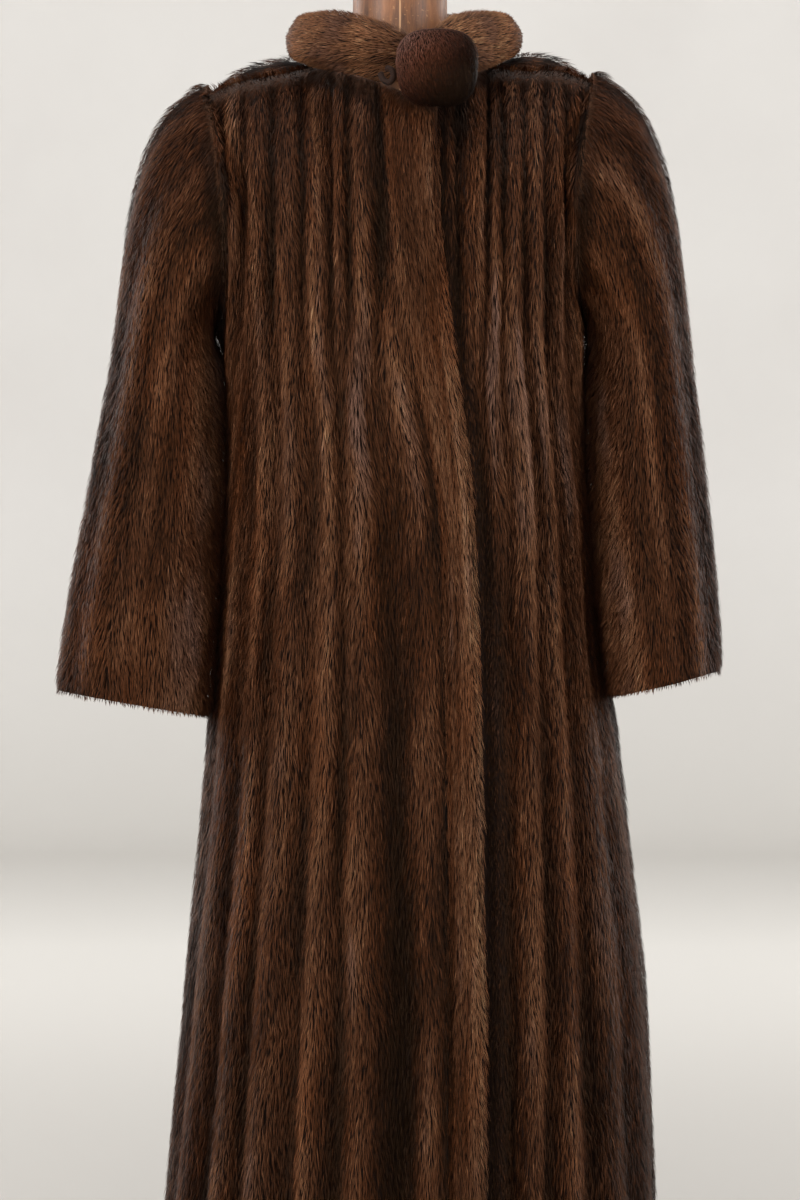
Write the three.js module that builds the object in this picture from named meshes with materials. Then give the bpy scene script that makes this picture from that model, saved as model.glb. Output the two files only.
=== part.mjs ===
// Full-length fur coat on a limbless dress form. Millimetres, +Z up, the coat's front faces -Y.
// Wearer's right is -X. Each coat piece is a closed wall as thick as its pelt and pile.
import * as THREE from 'three';

// Driving dimensions
const HEM_Z = 150;          // hem above the floor
const WALL = 12;            // pelt with its pile
const SEAM = 0.3;           // gap between sewn pieces
const TUCK = WALL + 0.5;    // how far the left front lies in under the overlapping edge
const LAP_HEM = 16, LAP_TOP = 7; // extra inward lean of the left front's hidden edge
const CUFF_LINES = 20;      // lines along a sleeve
const FLUTE_FADE = 40;      // pelt flutes die out this far from a seam

// Smooth body of the coat by height: half width at the wearer's right and left, depth of the front
// and back, and squareness of the section (2 is an ellipse).
const BODY = [
  { z: 150, right: 250, left: 271, front: 214, back: 236, square: 2.0 },
  { z: 450, right: 225, left: 257, front: 190, back: 206, square: 2.05 },
  { z: 575, right: 212, left: 243, front: 179, back: 191, square: 2.1 },
  { z: 700, right: 202, left: 228, front: 169, back: 177, square: 2.2 },
  { z: 785, right: 194, left: 213, front: 162, back: 168, square: 2.3 },
  { z: 885, right: 187, left: 204, front: 156, back: 160, square: 2.4 },
  { z: 1000, right: 181, left: 193, front: 151, back: 154, square: 2.6 },
  { z: 1115, right: 180, left: 190, front: 147, back: 150, square: 2.9 },
  { z: 1200, right: 183, left: 191, front: 140, back: 146, square: 3.0 },
];

// Neckline of the coat from the centre front round to the centre back, seen on the wearer's left.
const NECKLINE = [
  { x: 30, y: -118, z: 1368 }, { x: 54, y: -106, z: 1384 }, { x: 78, y: -78, z: 1397 },
  { x: 93, y: -38, z: 1403 }, { x: 92, y: 16, z: 1413 }, { x: 60, y: 60, z: 1417 },
  { x: 0, y: 76, z: 1418 },
];
// The overlapping right front reaches past the centre to the fastening.
const NECKLINE_RIGHT = [
  { x: 39, y: -124, z: 1356 }, { x: -21, y: -117, z: 1380 }, { x: -66, y: -84, z: 1396 },
  { x: -91, y: -38, z: 1402 },
];
// Shoulder seam, set forward of the crest, and the armhole from its top round the front and back.
const SHOULDER = [
  { x: 93, y: -38, z: 1403 }, { x: 125, y: -40, z: 1400 }, { x: 165, y: -38, z: 1399.5 },
  { x: 201, y: -22, z: 1391 },
];
const ARMHOLE = [
  { x: 201, y: -22, z: 1391 }, { x: 194, y: -62, z: 1348 }, { x: 186, y: -84, z: 1273 },
  { x: 185, y: -72, z: 1190 }, { x: 191, y: -38, z: 1140 }, { x: 195, y: 2, z: 1126 },
  { x: 192, y: 44, z: 1140 }, { x: 187, y: 80, z: 1190 }, { x: 187, y: 94, z: 1270 },
  { x: 195, y: 66, z: 1355 }, { x: 201, y: 18, z: 1400 },
];
const RIGHT_DROP = 13;      // the wearer's right shoulder hangs this much lower at its end

// Lengthwise lines of each panel, at the ridges and grooves of its pelts. bust, mid and hem are
// degrees round the body from the centre front, + to the wearer's left. top is the place on the
// upper edge: 0-1 neckline, 1-2 shoulder seam, 2-4 armhole. fold is the hang of the cloth at the
// hem in mm, flute the standing of the pile at the yoke.
const BORDER = [
  { top: 0.33, bust: 4, mid: 15, hem: 13.6, fold: -6, flute: -2.5 },
  { top: 0.22, bust: 9, mid: 19, hem: 16.5, fold: 1, flute: 1.5 },
  { top: 0.11, bust: 14.5, mid: 23, hem: 20, fold: 5, flute: 2.5 },
  { top: 0, bust: 20, mid: 27, hem: 23.3, fold: 2, flute: 0 },
];
const FRONT_RIGHT = [
  { top: 0.33, bust: 4, mid: 15, hem: 13.6, fold: -6, flute: -2.5 },
  { top: 0.52, bust: -4, mid: 7.4, hem: 8.1, fold: 6, flute: 3 },
  { top: 0.68, bust: -12, mid: -4, hem: 1.1, fold: -15, flute: -4 },
  { top: 0.85, bust: -19, mid: -15, hem: -11.5, fold: 9, flute: 3 },
  { top: 1, bust: -25, mid: -21, hem: -18.3, fold: -5, flute: -4 },
  { top: 1.18, bust: -30, mid: -26, hem: -27.6, fold: 8, flute: 3 },
  { top: 1.36, bust: -35, mid: -32, hem: -32.4, fold: -5, flute: -4.5 },
  { top: 1.53, bust: -40, mid: -40, hem: -42.9, fold: 8, flute: 3.5 },
  { top: 1.69, bust: -44.5, mid: -46, hem: -49, fold: -6, flute: -4 },
  { top: 1.85, bust: -49, mid: -51, hem: -55, fold: 5, flute: 3 },
  { top: 2, bust: -53.5, mid: -57, hem: -62, fold: -5, flute: -2 },
  { top: 2.4, bust: -58.5, mid: -63, hem: -69, fold: 6, flute: 0 },
  { top: 2.8, bust: -64, mid: -70, hem: -76, fold: -2, flute: 0 },
  { top: 3.2, bust: -71, mid: -77, hem: -82, fold: 3, flute: 0 },
  { top: 3.6, bust: -82, mid: -86, hem: -88, fold: 0, flute: 0 },
  { top: 4, bust: -95, mid: -95, hem: -95, fold: 0, flute: 0 },
];
const FRONT_LEFT = [
  { top: 0, bust: 3, mid: 7, hem: 7, fold: 0, flute: 0 },
  { top: 0.26, bust: 12, mid: 14, hem: 12.5, fold: 0, flute: 0 },
  { top: 0.4, bust: 18, mid: 20, hem: 16, fold: 0, flute: 3 },
  { top: 0.55, bust: 22, mid: 24, hem: 19.5, fold: 0, flute: -4 },
  { top: 0.7, bust: 26, mid: 28, hem: 22.5, fold: 1, flute: 3 },
  { top: 0.85, bust: 30, mid: 32, hem: 25.5, fold: -4, flute: -4 },
  { top: 1, bust: 34, mid: 36, hem: 29, fold: 4, flute: 3 },
  { top: 1.18, bust: 37.5, mid: 41, hem: 32, fold: -3, flute: -4 },
  { top: 1.36, bust: 41.5, mid: 46, hem: 36, fold: 8, flute: 3.5 },
  { top: 1.53, bust: 45.5, mid: 50, hem: 42, fold: -7, flute: -4 },
  { top: 1.69, bust: 49, mid: 54, hem: 47.5, fold: 8, flute: 3 },
  { top: 1.85, bust: 52.5, mid: 58, hem: 54, fold: -5, flute: -3.5 },
  { top: 2, bust: 56, mid: 63, hem: 61, fold: 7, flute: 2 },
  { top: 2.4, bust: 61, mid: 69, hem: 68, fold: -3, flute: 0 },
  { top: 2.8, bust: 66, mid: 75, hem: 75, fold: 4, flute: 0 },
  { top: 3.2, bust: 73, mid: 81, hem: 82, fold: -1, flute: 0 },
  { top: 3.6, bust: 83, mid: 88, hem: 88, fold: 1, flute: 0 },
  { top: 4, bust: 95, mid: 95, hem: 95, fold: 0, flute: 0 },
];
// Half of the back, from the side seam to the centre. The other half mirrors it with its own hang.
const BACK_HALF = [
  { top: 4, bust: 95, hem: 95, fold: 0, other: 0, flute: 0 },
  { top: 3.6, bust: 106, hem: 101, fold: 3, other: 4, flute: 0 },
  { top: 3.2, bust: 114, hem: 107, fold: -4, other: -5, flute: 0 },
  { top: 2.8, bust: 120, hem: 113, fold: 7, other: 8, flute: 0 },
  { top: 2.4, bust: 125, hem: 119, fold: -6, other: -4, flute: 0 },
  { top: 2, bust: 129.5, hem: 125, fold: 8, other: 6, flute: 2 },
  { top: 1.85, bust: 134, hem: 130.5, fold: -8, other: -7, flute: -3 },
  { top: 1.69, bust: 138, hem: 136, fold: 9, other: 8, flute: 3 },
  { top: 1.53, bust: 142, hem: 141, fold: -7, other: -9, flute: -4 },
  { top: 1.36, bust: 146, hem: 146, fold: 9, other: 9, flute: 3 },
  { top: 1.18, bust: 150, hem: 151, fold: -9, other: -7, flute: -4 },
  { top: 1, bust: 154, hem: 155.5, fold: 8, other: 9, flute: 3 },
  { top: 0.8, bust: 159, hem: 160, fold: -8, other: -10, flute: -4 },
  { top: 0.6, bust: 164, hem: 165, fold: 9, other: 8, flute: 3 },
  { top: 0.4, bust: 169.5, hem: 170, fold: -9, other: -8, flute: -4 },
  { top: 0.2, bust: 175, hem: 175, fold: 8, other: 7, flute: 3 },
  { top: 0, bust: 180, hem: 180, fold: -6, other: -6, flute: -3 },
];
const MID_Z = 910;
const BUST_Z = 1115;
const ROWS = [0, 0.07, 0.15, 0.23, 0.32, 0.41, 0.5, 0.58, 0.65, 0.71, 0.77, 0.82, 0.865, 0.9, 0.93,
  0.955, 0.98, 1];

// Sleeves by height below the armhole: reach of the outer and inner line from the centre of the
// coat, depth of the section, and how far forward it hangs.
const SLEEVE_LEFT = [
  { z: 760, outer: 335, inner: 217, depth: 158, forward: 56 },
  { z: 850, outer: 330, inner: 208, depth: 158, forward: 42 },
  { z: 950, outer: 321, inner: 200, depth: 162, forward: 25 },
  { z: 1075, outer: 308, inner: 195, depth: 168, forward: 7 },
];
const SLEEVE_RIGHT = [
  { z: 740, outer: 360, inner: 200, depth: 126, forward: 52 },
  { z: 850, outer: 345, inner: 191, depth: 138, forward: 40 },
  { z: 950, outer: 327, inner: 186, depth: 150, forward: 24 },
  { z: 1075, outer: 306, inner: 184, depth: 166, forward: 7 },
];
const CUFF_TILT = 27;       // the outer end of a cuff is this much higher than its inner end
const SLEEVE_ROWS = [0, 0.03, 0.07, 0.12, 0.18, 0.25, 0.33, 0.42, 0.52, 0.62, 0.72, 0.82, 0.91, 1];

// Collar: a rolled band round the neck, along the neckline. root is its seam on the neckline, base
// its overhanging outer edge and crown its top; out and in are its reach from the path.
const COLLAR = [
  { x: 16, y: -121, root: 1395.3, base: 1403.3, crown: 1424, out: 5, in: 5 },
  { x: -4, y: -119, root: 1383.3, base: 1401.3, crown: 1435, out: 11, in: 12 },
  { x: -34, y: -109, root: 1382.9, base: 1400.3, crown: 1446, out: 16, in: 17 },
  { x: -66, y: -84, root: 1392.3, base: 1403.3, crown: 1455, out: 21, in: 17 },
  { x: -91, y: -38, root: 1404.8, base: 1414.5, crown: 1457, out: 26, in: 16 },
  { x: -90, y: 16, root: 1414, base: 1425, crown: 1460, out: 21, in: 14 },
  { x: -58, y: 60, root: 1414.2, base: 1423.8, crown: 1464, out: 21, in: 17 },
  { x: 0, y: 76, root: 1414.8, base: 1423.8, crown: 1465, out: 20, in: 17 },
  { x: 60, y: 60, root: 1414.2, base: 1423.8, crown: 1466, out: 21, in: 17 },
  { x: 92, y: 16, root: 1415, base: 1428, crown: 1462, out: 27, in: 14 },
  { x: 94, y: -38, root: 1406.6, base: 1418, crown: 1458, out: 32, in: 16 },
  { x: 78, y: -80, root: 1392.5, base: 1401.3, crown: 1455, out: 19, in: 17 },
  { x: 56, y: -105, root: 1382.5, base: 1395.3, crown: 1446, out: 13, in: 16 },
  { x: 38, y: -117, root: 1381.3, base: 1391.3, crown: 1436, out: 8, in: 10 },
];

// Fur-covered button and its loop
const BUTTON = { x: 38, y: -140.4, z: 1394, width: 86, height: 82, thick: 36, turn: 0.14 };
const LOOP = { radius: 3.2, path: [[-20, -126.5, 1388], [-17, -131.5, 1381], [-11, -135, 1378],
  [-6.7, -136, 1384], [-8.5, -135, 1391], [-14, -132, 1393]] };

// Dress form by ring: half width, depth of front and back, and the ring's height at its sides,
// front and back. It ends below the hips on a pole in a round base.
const FORM = [
  { wide: 128, front: 92, back: 98, side: 722, fz: 722, bz: 722 },
  { wide: 150, front: 104, back: 112, side: 728, fz: 728, bz: 728 },
  { wide: 158, front: 108, back: 120, side: 790, fz: 790, bz: 790 },
  { wide: 150, front: 102, back: 112, side: 870, fz: 870, bz: 870 },
  { wide: 132, front: 94, back: 98, side: 970, fz: 970, bz: 970 },
  { wide: 138, front: 100, back: 100, side: 1050, fz: 1040, bz: 1050 },
  { wide: 154, front: 106, back: 106, side: 1130, fz: 1110, bz: 1130 },
  { wide: 164, front: 102, back: 108, side: 1210, fz: 1180, bz: 1205 },
  { wide: 170, front: 88, back: 98, side: 1290, fz: 1250, bz: 1275 },
  { wide: 175, front: 74, back: 80, side: 1349, fz: 1305, bz: 1316 },
  { wide: 167, front: 64, back: 66, side: 1395, fz: 1345, bz: 1346 },
  { wide: 140, front: 55, back: 54, side: 1403.1, fz: 1370, bz: 1366 },
  { wide: 104, front: 51, back: 50, side: 1396.8, fz: 1383, bz: 1375 },
  { wide: 72, front: 50, back: 49, side: 1391, fz: 1392, bz: 1389 },
  { wide: 54, front: 50, back: 49, side: 1424, fz: 1421, bz: 1427 },
  { wide: 50, front: 50, back: 48, side: 1450, fz: 1448, bz: 1450 },
  { wide: 49, front: 49, back: 48, side: 1492, fz: 1492, bz: 1492 },
  { wide: 44, front: 44, back: 43, side: 1502, fz: 1502, bz: 1502 },
];
const FORM_SIDES = 28;
const POLE = { radius: 13, low: 14, high: 721.5 };
const BASE = { radius: 175, height: 14, foot: 26, footHigh: 22 };

// Curves and tables
const vec = (x, y, z) => new THREE.Vector3(x, y, z);
const rad = THREE.MathUtils.degToRad;
const clamp = THREE.MathUtils.clamp;
const mix = THREE.MathUtils.lerp;
const ease = THREE.MathUtils.smoothstep;

// Value of one column of a table at a height or station, smooth through the rows.
function track(rows, key, at, by = 'z') {
  let i = 0;
  while (i < rows.length - 2 && at > rows[i + 1][by]) i++;
  const slope = (k) => {
    const a = rows[Math.max(k - 1, 0)], b = rows[Math.min(k + 1, rows.length - 1)];
    return (b[key] - a[key]) / (b[by] - a[by]);
  };
  const span = rows[i + 1][by] - rows[i][by];
  const s = clamp((at - rows[i][by]) / span, 0, 1);
  return (1 + 2 * s) * (1 - s) ** 2 * rows[i][key] + s * (1 - s) ** 2 * span * slope(i)
    + s * s * (3 - 2 * s) * rows[i + 1][key] - s * s * (1 - s) * span * slope(i + 1);
}

// Smooth curve through table points, q from 0 to 1 over the given stretch of points.
function along(points, q, closed = false) {
  const at = (k) => {
    const n = points.length;
    const p = points[closed ? (k + n) % n : clamp(k, 0, n - 1)];
    return vec(p.x, p.y, p.z);
  };
  const steps = closed ? points.length : points.length - 1;
  const i = Math.min(Math.floor(q * steps), steps - 1), s = q * steps - i;
  const [a, b, c, d] = [at(i - 1), at(i), at(i + 1), at(i + 2)];
  const curve = (m, n, o, p) => n + 0.5 * s * (o - m + s * (2 * m - 5 * n + 4 * o - p
    + s * (3 * (n - o) + p - m)));
  return vec(curve(a.x, b.x, c.x, d.x), curve(a.y, b.y, c.y, d.y), curve(a.z, b.z, c.z, d.z));
}

function hermite(a, ta, b, tb, s) {
  const r = vec(0, 0, 0);
  r.addScaledVector(a, (1 + 2 * s) * (1 - s) ** 2).addScaledVector(ta, s * (1 - s) ** 2);
  return r.addScaledVector(b, s * s * (3 - 2 * s)).addScaledVector(tb, -s * s * (1 - s));
}

// Point of the smooth body at a height and an angle round it
function bodyPoint(z, degrees) {
  const a = rad(degrees), n = track(BODY, 'square', z);
  const w = track(BODY, Math.sin(a) < 0 ? 'right' : 'left', z);
  const d = track(BODY, Math.cos(a) > 0 ? 'front' : 'back', z);
  const r = (Math.abs(Math.sin(a) / w) ** n + Math.abs(Math.cos(a) / d) ** n) ** (-1 / n);
  return vec(r * Math.sin(a), -r * Math.cos(a), z);
}

// The wearer's right shoulder hangs lower towards its end.
function settle(p) {
  if (p.x < 0) p.z -= RIGHT_DROP * ease(-p.x, 85, 198) * ease(p.z, 1150, 1350);
  return p;
}
const mirror = (p, side) => { p.x *= side; return settle(p); };

// Upper edge of a panel: neckline, shoulder seam, then its half of the armhole
function topPoint(q, side, isBack, rightFront) {
  if (q < 1 && isBack) return mirror(along(NECKLINE.slice(3), 1 - q), side);
  if (q < 1 && rightFront) return settle(along(NECKLINE_RIGHT, q));
  if (q < 1) return mirror(along(NECKLINE.slice(0, 4), q), side);
  if (q <= 2) return mirror(along(SHOULDER, q - 1), side);
  return mirror(armhole((q - 2) / 2, isBack), side);
}

// Armhole ring on the wearer's left: 0 at its top to 1 at its bottom, round the front or the back
function armhole(s, isBack) {
  const steps = ARMHOLE.length, low = 5 / steps;
  const q = isBack ? 1 - s * (1 - low) : s * low;
  return along(ARMHOLE, q >= 1 ? 0 : q, true);
}

// Directions in which a panel's lines reach the upper edge
const ARRIVE_FRONT = [
  { q: 0, x: 0, y: 0.3, z: 0.95, pull: 280 }, { q: 0.9, x: 0, y: 0.66, z: 0.75, pull: 330 },
  { q: 1.8, x: 0.15, y: 0.62, z: 0.75, pull: 330 }, { q: 2.3, x: 0.4, y: 0.2, z: 0.85, pull: 220 },
  { q: 3, x: 0.45, y: 0.02, z: 0.85, pull: 120 }, { q: 4, x: 0.25, y: 0, z: 0.95, pull: 60 },
];
const ARRIVE_BACK = [
  { q: 0, x: 0, y: -0.45, z: 0.88, pull: 260 }, { q: 0.75, x: 0, y: -0.8, z: 0.5, pull: 330 },
  { q: 1, x: 0, y: -0.9, z: -0.1, pull: 360 }, { q: 1.2, x: 0, y: -0.84, z: -0.55, pull: 480 },
  { q: 1.8, x: 0.1, y: -0.84, z: -0.5, pull: 460 },
  { q: 2.25, x: 0.4, y: -0.5, z: 0.6, pull: 240 }, { q: 3, x: 0.45, y: -0.02, z: 0.85, pull: 130 },
  { q: 4, x: 0.25, y: 0, z: 0.95, pull: 60 },
];

// Degrees round the body of one lengthwise line at a height
function turnAt(line, z) {
  const rows = [{ z: HEM_Z, v: line.hem }, { z: MID_Z, v: line.mid }, { z: BUST_Z, v: line.bust }];
  return track(rows, 'v', Math.min(z, BUST_Z));
}

// Point of a panel's smooth surface on one of its lines, t from 0 at the hem to 1 at the top
function linePoint(line, t, panel) {
  const side = line.side ?? (line.bust < 0 ? -1 : 1);
  const top = topPoint(line.top, side, panel.isBack, panel.rightFront);
  const leave = Math.min(BUST_Z, top.z - 70 + 30 * ease(line.top, 3, 4));
  const start = bodyPoint(leave, turnAt(line, leave));
  const rows = panel.isBack ? ARRIVE_BACK : ARRIVE_FRONT;
  const chord = start.distanceTo(top);
  const pull = Math.min(track(rows, 'pull', line.top, 'q'), 1.5 * chord);
  const arrive = vec(side * track(rows, 'x', line.top, 'q'), track(rows, 'y', line.top, 'q'),
    track(rows, 'z', line.top, 'q')).normalize().multiplyScalar(pull);
  const share = (leave - HEM_Z) / (leave - HEM_Z + chord * 1.12);
  if (t <= share) {
    const z = mix(HEM_Z, leave, t / share);
    return bodyPoint(z, turnAt(line, z));
  }
  const below = bodyPoint(leave - 5, turnAt(line, leave - 5));
  const go = start.clone().sub(below).normalize().multiplyScalar(Math.min(chord, 330));
  return hermite(start, go, top, arrive, (t - share) / (1 - share));
}

// Reach of the overlapping edge to the wearer's left, by height
const EDGE = [{ z: 150, x: 106 }, { z: 670, x: 106 }, { z: 882, x: 94 }, { z: 1080, x: 70 },
  { z: 1214, x: 48 }, { z: 1356, x: 39 }];

// The same line moved a little round the body, so that neighbouring panels agree on a direction
function shifted(line, step, panel) {
  const way = panel.rightFront ? -1 : Math.sign(line.bust) * (panel.isBack ? -1 : 1);
  const low = line.top >= 2 ? 2 : line.top >= 1 ? 1 : 0, high = line.top > 2 ? 4 : low + 0.999;
  return { ...line, top: clamp(line.top + step * 0.04, low, high), bust: line.bust + step * way,
    mid: line.mid + step * way, hem: line.hem + step * way, side: Math.sign(line.bust) };
}

// A panel as two skins of points and the closed wall between them
function buildPanel(panel) {
  const outer = [], inner = [];
  for (const line of panel.lines) {
    const isSide = Math.abs(line.bust) === 95, front = panel.isBack ? 1 : -1;
    const top = linePoint(line, 1, panel);
    const skins = [[], []];
    for (const t of ROWS) {
      const p = linePoint(line, t, panel), nearTop = p.distanceTo(top);
      const up = linePoint(line, Math.min(t + 0.012, 1), panel)
        .sub(linePoint(line, Math.max(t - 0.012, 0), panel));
      const round = linePoint(shifted(line, 0.5, panel), t, panel)
        .sub(linePoint(shifted(line, -0.5, panel), t, panel));
      const n = round.cross(up).normalize();
      if (n.x * p.x + n.y * p.y + n.z * 60 < 0) n.negate();
      if (isSide) n.set(Math.sign(line.bust), 0, 0);
      if (t === 1) n.copy(rimNormal(line, top, panel));
      let flute = line.flute * ease(nearTop, 2, FLUTE_FADE) * mix(0.35, 1, ease(t, 0.25, 0.8));
      const fold = line.fold * (1 - ease(t, 0.02, 0.85)) ** 0.7;
      let tuck = 0;
      if (panel.under) {
        const past = p.x - track(EDGE, 'x', Math.min(p.z, 1356));
        tuck = -TUCK * (1 - ease(past, 6, 52)) - mix(LAP_HEM, LAP_TOP, ease(p.z, 150, 900))
          * ease(-past, 0, 90);
        flute *= ease(past, 4, 28);
      }
      if (isSide) p.y += front * SEAM / 2;
      const onShoulder = t === 1 && line.top >= 1 && line.top <= 2;
      if (onShoulder) p.addScaledVector(vec(0, 0.9, 0.42), front * SEAM / 2);
      if (line.seam) p.x += line.seam * SEAM / 2;
      skins[0].push(p.clone().addScaledVector(n, fold + flute + tuck));
      skins[1].push(p.clone().addScaledVector(n, fold + Math.min(flute, 0) * 0.4 + tuck - WALL));
    }
    outer.push(skins[0]);
    inner.push(skins[1]);
  }
  return wall(outer, inner, panel);
}

// Rims of neighbouring pieces share their direction, so their walls never cross.
function rimNormal(line, top, panel) {
  const q = line.top, side = line.bust < 0 ? -1 : 1;
  if (q < 1) {
    const away = vec(top.x * 0.8, top.y + (panel.isBack ? 20 : 10), 0).normalize();
    return away.multiplyScalar(0.8).add(vec(0, 0, 0.6)).normalize();
  }
  if (q <= 2) return vec(side * 0.12, -0.42, 0.9).normalize();
  const ring = vec(0, top.y - 4, top.z - 1250).normalize();
  const aside = mix(0.15, 6, ease(q, 2.6, 4) ** 2);
  return ring.add(vec(side * aside, 0, 0)).normalize();
}

// Closes two skins of points into one solid wall, with flat-shaded faces.
function wall(outer, inner, { ring = false, turned = false } = {}) {
  const cols = outer.length, rows = outer[0].length, at = [];
  for (const skin of [outer, inner]) for (const line of skin) for (const p of line) at.push(p);
  const id = (skin, i, j) => skin * cols * rows + (i % cols) * rows + j;
  const faces = [];
  const quad = (a, b, c, d, flip) => {
    const shorter = at[a].distanceTo(at[c]) <= at[b].distanceTo(at[d]);
    const pair = shorter ? [[a, b, c], [a, c, d]] : [[a, b, d], [b, c, d]];
    for (const [p, q, r] of pair) faces.push(flip !== turned ? [p, r, q] : [p, q, r]);
  };
  const last = ring ? cols : cols - 1;
  for (let i = 0; i < last; i++) {
    for (let j = 0; j < rows - 1; j++) {
      quad(id(0, i, j), id(0, i + 1, j), id(0, i + 1, j + 1), id(0, i, j + 1), false);
      quad(id(1, i, j), id(1, i + 1, j), id(1, i + 1, j + 1), id(1, i, j + 1), true);
    }
    quad(id(0, i, 0), id(0, i + 1, 0), id(1, i + 1, 0), id(1, i, 0), true);
    quad(id(0, i, rows - 1), id(0, i + 1, rows - 1), id(1, i + 1, rows - 1), id(1, i, rows - 1), false);
  }
  if (!ring) {
    for (let j = 0; j < rows - 1; j++) {
      quad(id(0, 0, j), id(0, 0, j + 1), id(1, 0, j + 1), id(1, 0, j), false);
      const e = cols - 1;
      quad(id(0, e, j), id(0, e, j + 1), id(1, e, j + 1), id(1, e, j), true);
    }
  }
  return meshData(at, faces);
}

function meshData(points, faces) {
  const geometry = new THREE.BufferGeometry();
  geometry.setAttribute('position', new THREE.Float32BufferAttribute(
    points.flatMap((p) => [p.x, p.y, p.z]), 3));
  geometry.setIndex(faces.flat());
  geometry.computeVertexNormals();
  return geometry;
}

// Rings of points lofted into a solid, closed at both ends by a fan or, for a loop, end to end
function loft(rings, { flip = false } = {}) {
  const n = rings[0].length, at = rings.flat(), faces = [];
  const add = (a, b, c) => faces.push(flip ? [a, c, b] : [a, b, c]);
  for (let k = 0; k < rings.length - 1; k++) {
    for (let i = 0; i < n; i++) {
      const a = k * n + i, b = k * n + (i + 1) % n;
      add(a, b, b + n);
      add(a, b + n, a + n);
    }
  }
  for (const [k, down] of [[0, true], [rings.length - 1, false]]) {
    const centre = vec(0, 0, 0);
    for (const p of rings[k]) centre.addScaledVector(p, 1 / n);
    at.push(centre);
    for (let i = 0; i < n; i++) {
      const a = k * n + i, b = k * n + (i + 1) % n;
      if (down) add(b, a, at.length - 1); else add(a, b, at.length - 1);
    }
  }
  return meshData(at, faces);
}

// A point of a sleeve's smooth surface: s round it from the outer line by the front, t from the
// armhole to the cuff
function sleevePoint(rows, side, s, t) {
  const rim = (k) => (k > 5 ? armhole((10 - k) / 5, true) : armhole(k / 5, false));
  const k = Math.min(Math.floor(s * 10), 9);
  const start = mirror(rim(k).lerp(rim(k + 1), s * 10 - k), side);
  start.x += side * SEAM;
  const section = (z) => {
    const outer = track(rows, 'outer', z), inner = track(rows, 'inner', z);
    const a = 2 * Math.PI * s;
    const x = (outer + inner) / 2 + (outer - inner) / 2 * Math.cos(a);
    return vec(side * x, -track(rows, 'forward', z) - track(rows, 'depth', z) / 2 * Math.sin(a), z);
  };
  const high = rows[rows.length - 1].z, low = rows[0].z;
  const tilt = CUFF_TILT * Math.cos(2 * Math.PI * s) / 2;
  const end = section(high);
  const chord = start.distanceTo(end), share = chord / (chord + high - low - tilt);
  if (t >= share) return section(mix(high, low + tilt, (t - share) / (1 - share)));
  const out = vec(side, 0, -0.25 - 0.35 * (1 - Math.cos(2 * Math.PI * s)));
  const go = out.normalize().multiplyScalar(Math.min(300, 0.9 * chord));
  const down = section(high - 5).sub(end).normalize().multiplyScalar(Math.min(300, chord));
  return hermite(start, go, end, down, t / share);
}

function buildSleeve(rows, side, swing) {
  const outer = [], inner = [];
  for (let i = 0; i < CUFF_LINES; i++) {
    const s = i / CUFF_LINES, ds = 0.01;
    outer.push([]);
    inner.push([]);
    SLEEVE_ROWS.forEach((t, j) => {
      const p = sleevePoint(rows, side, s, t);
      const up = sleevePoint(rows, side, s, Math.min(t + 0.01, 1))
        .sub(sleevePoint(rows, side, s, Math.max(t - 0.01, 0)));
      const round = sleevePoint(rows, side, (s + ds) % 1, t)
        .sub(sleevePoint(rows, side, (s + 1 - ds) % 1, t));
      const n = round.cross(up).normalize().multiplyScalar(side);
      if (j === 0) n.set(0, p.y - 4, p.z - 1250).normalize();
      const away = ease(Math.abs(s - 0.5), 0.12, 0.3);
      const flute = (i % 2 ? 2.4 : -1.8) * ease(t, 0.02, 0.14) * away;
      const bend = swing * Math.sin(4 * Math.PI * s + 2.2 * t) * ease(t, 0.25, 0.7) * away;
      outer[i].push(p.clone().addScaledVector(n, flute + bend));
      inner[i].push(p.clone().addScaledVector(n, Math.min(flute, 0) + bend - WALL));
    });
  }
  return wall(outer, inner, { ring: true, turned: side < 0 });
}

// Rounded section of the collar at one station, as points round it
function collarRing(p, ahead, n = 12) {
  const along2 = vec(ahead.x, ahead.y, 0).normalize();
  const outward = vec(-along2.y, along2.x, 0);
  const ring = [];
  for (let i = 0; i < n; i++) {
    const a = 2 * Math.PI * i / n;
    const c = Math.sign(Math.cos(a)) * Math.abs(Math.cos(a)) ** (Math.sin(a) > 0 ? 1.4 : 0.8);
    const h = Math.sign(Math.sin(a)) * Math.abs(Math.sin(a)) ** (Math.sin(a) > 0 ? 1 : 0.8);
    const lean = -0.4 * Math.max(h, 0) * (p.out + p.in);
    const r = (p.out - p.in) / 2 + (p.out + p.in) / 2 * c + lean;
    const low = mix(p.root, p.base, ease(c, -0.45, 0.5));
    ring.push(vec(p.x, p.y, mix(low, p.crown, (h + 1) / 2)).addScaledVector(outward, r));
  }
  return ring;
}

function buildCollar(steps = 27) {
  const station = (q) => {
    const p = {}, k = q * (COLLAR.length - 1);
    const rows = COLLAR.map((row, i) => ({ ...row, k: i }));
    for (const key of ['x', 'y', 'root', 'base', 'crown', 'out', 'in']) p[key] = track(rows, key, k, 'k');
    return p;
  };
  const rings = [];
  for (let i = 0; i <= steps; i++) {
    const q = i / steps, a = station(Math.max(q - 0.01, 0)), b = station(Math.min(q + 0.01, 1));
    rings.push(collarRing(station(q), vec(b.x - a.x, b.y - a.y, 0)));
  }
  return loft(rings);
}

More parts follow.
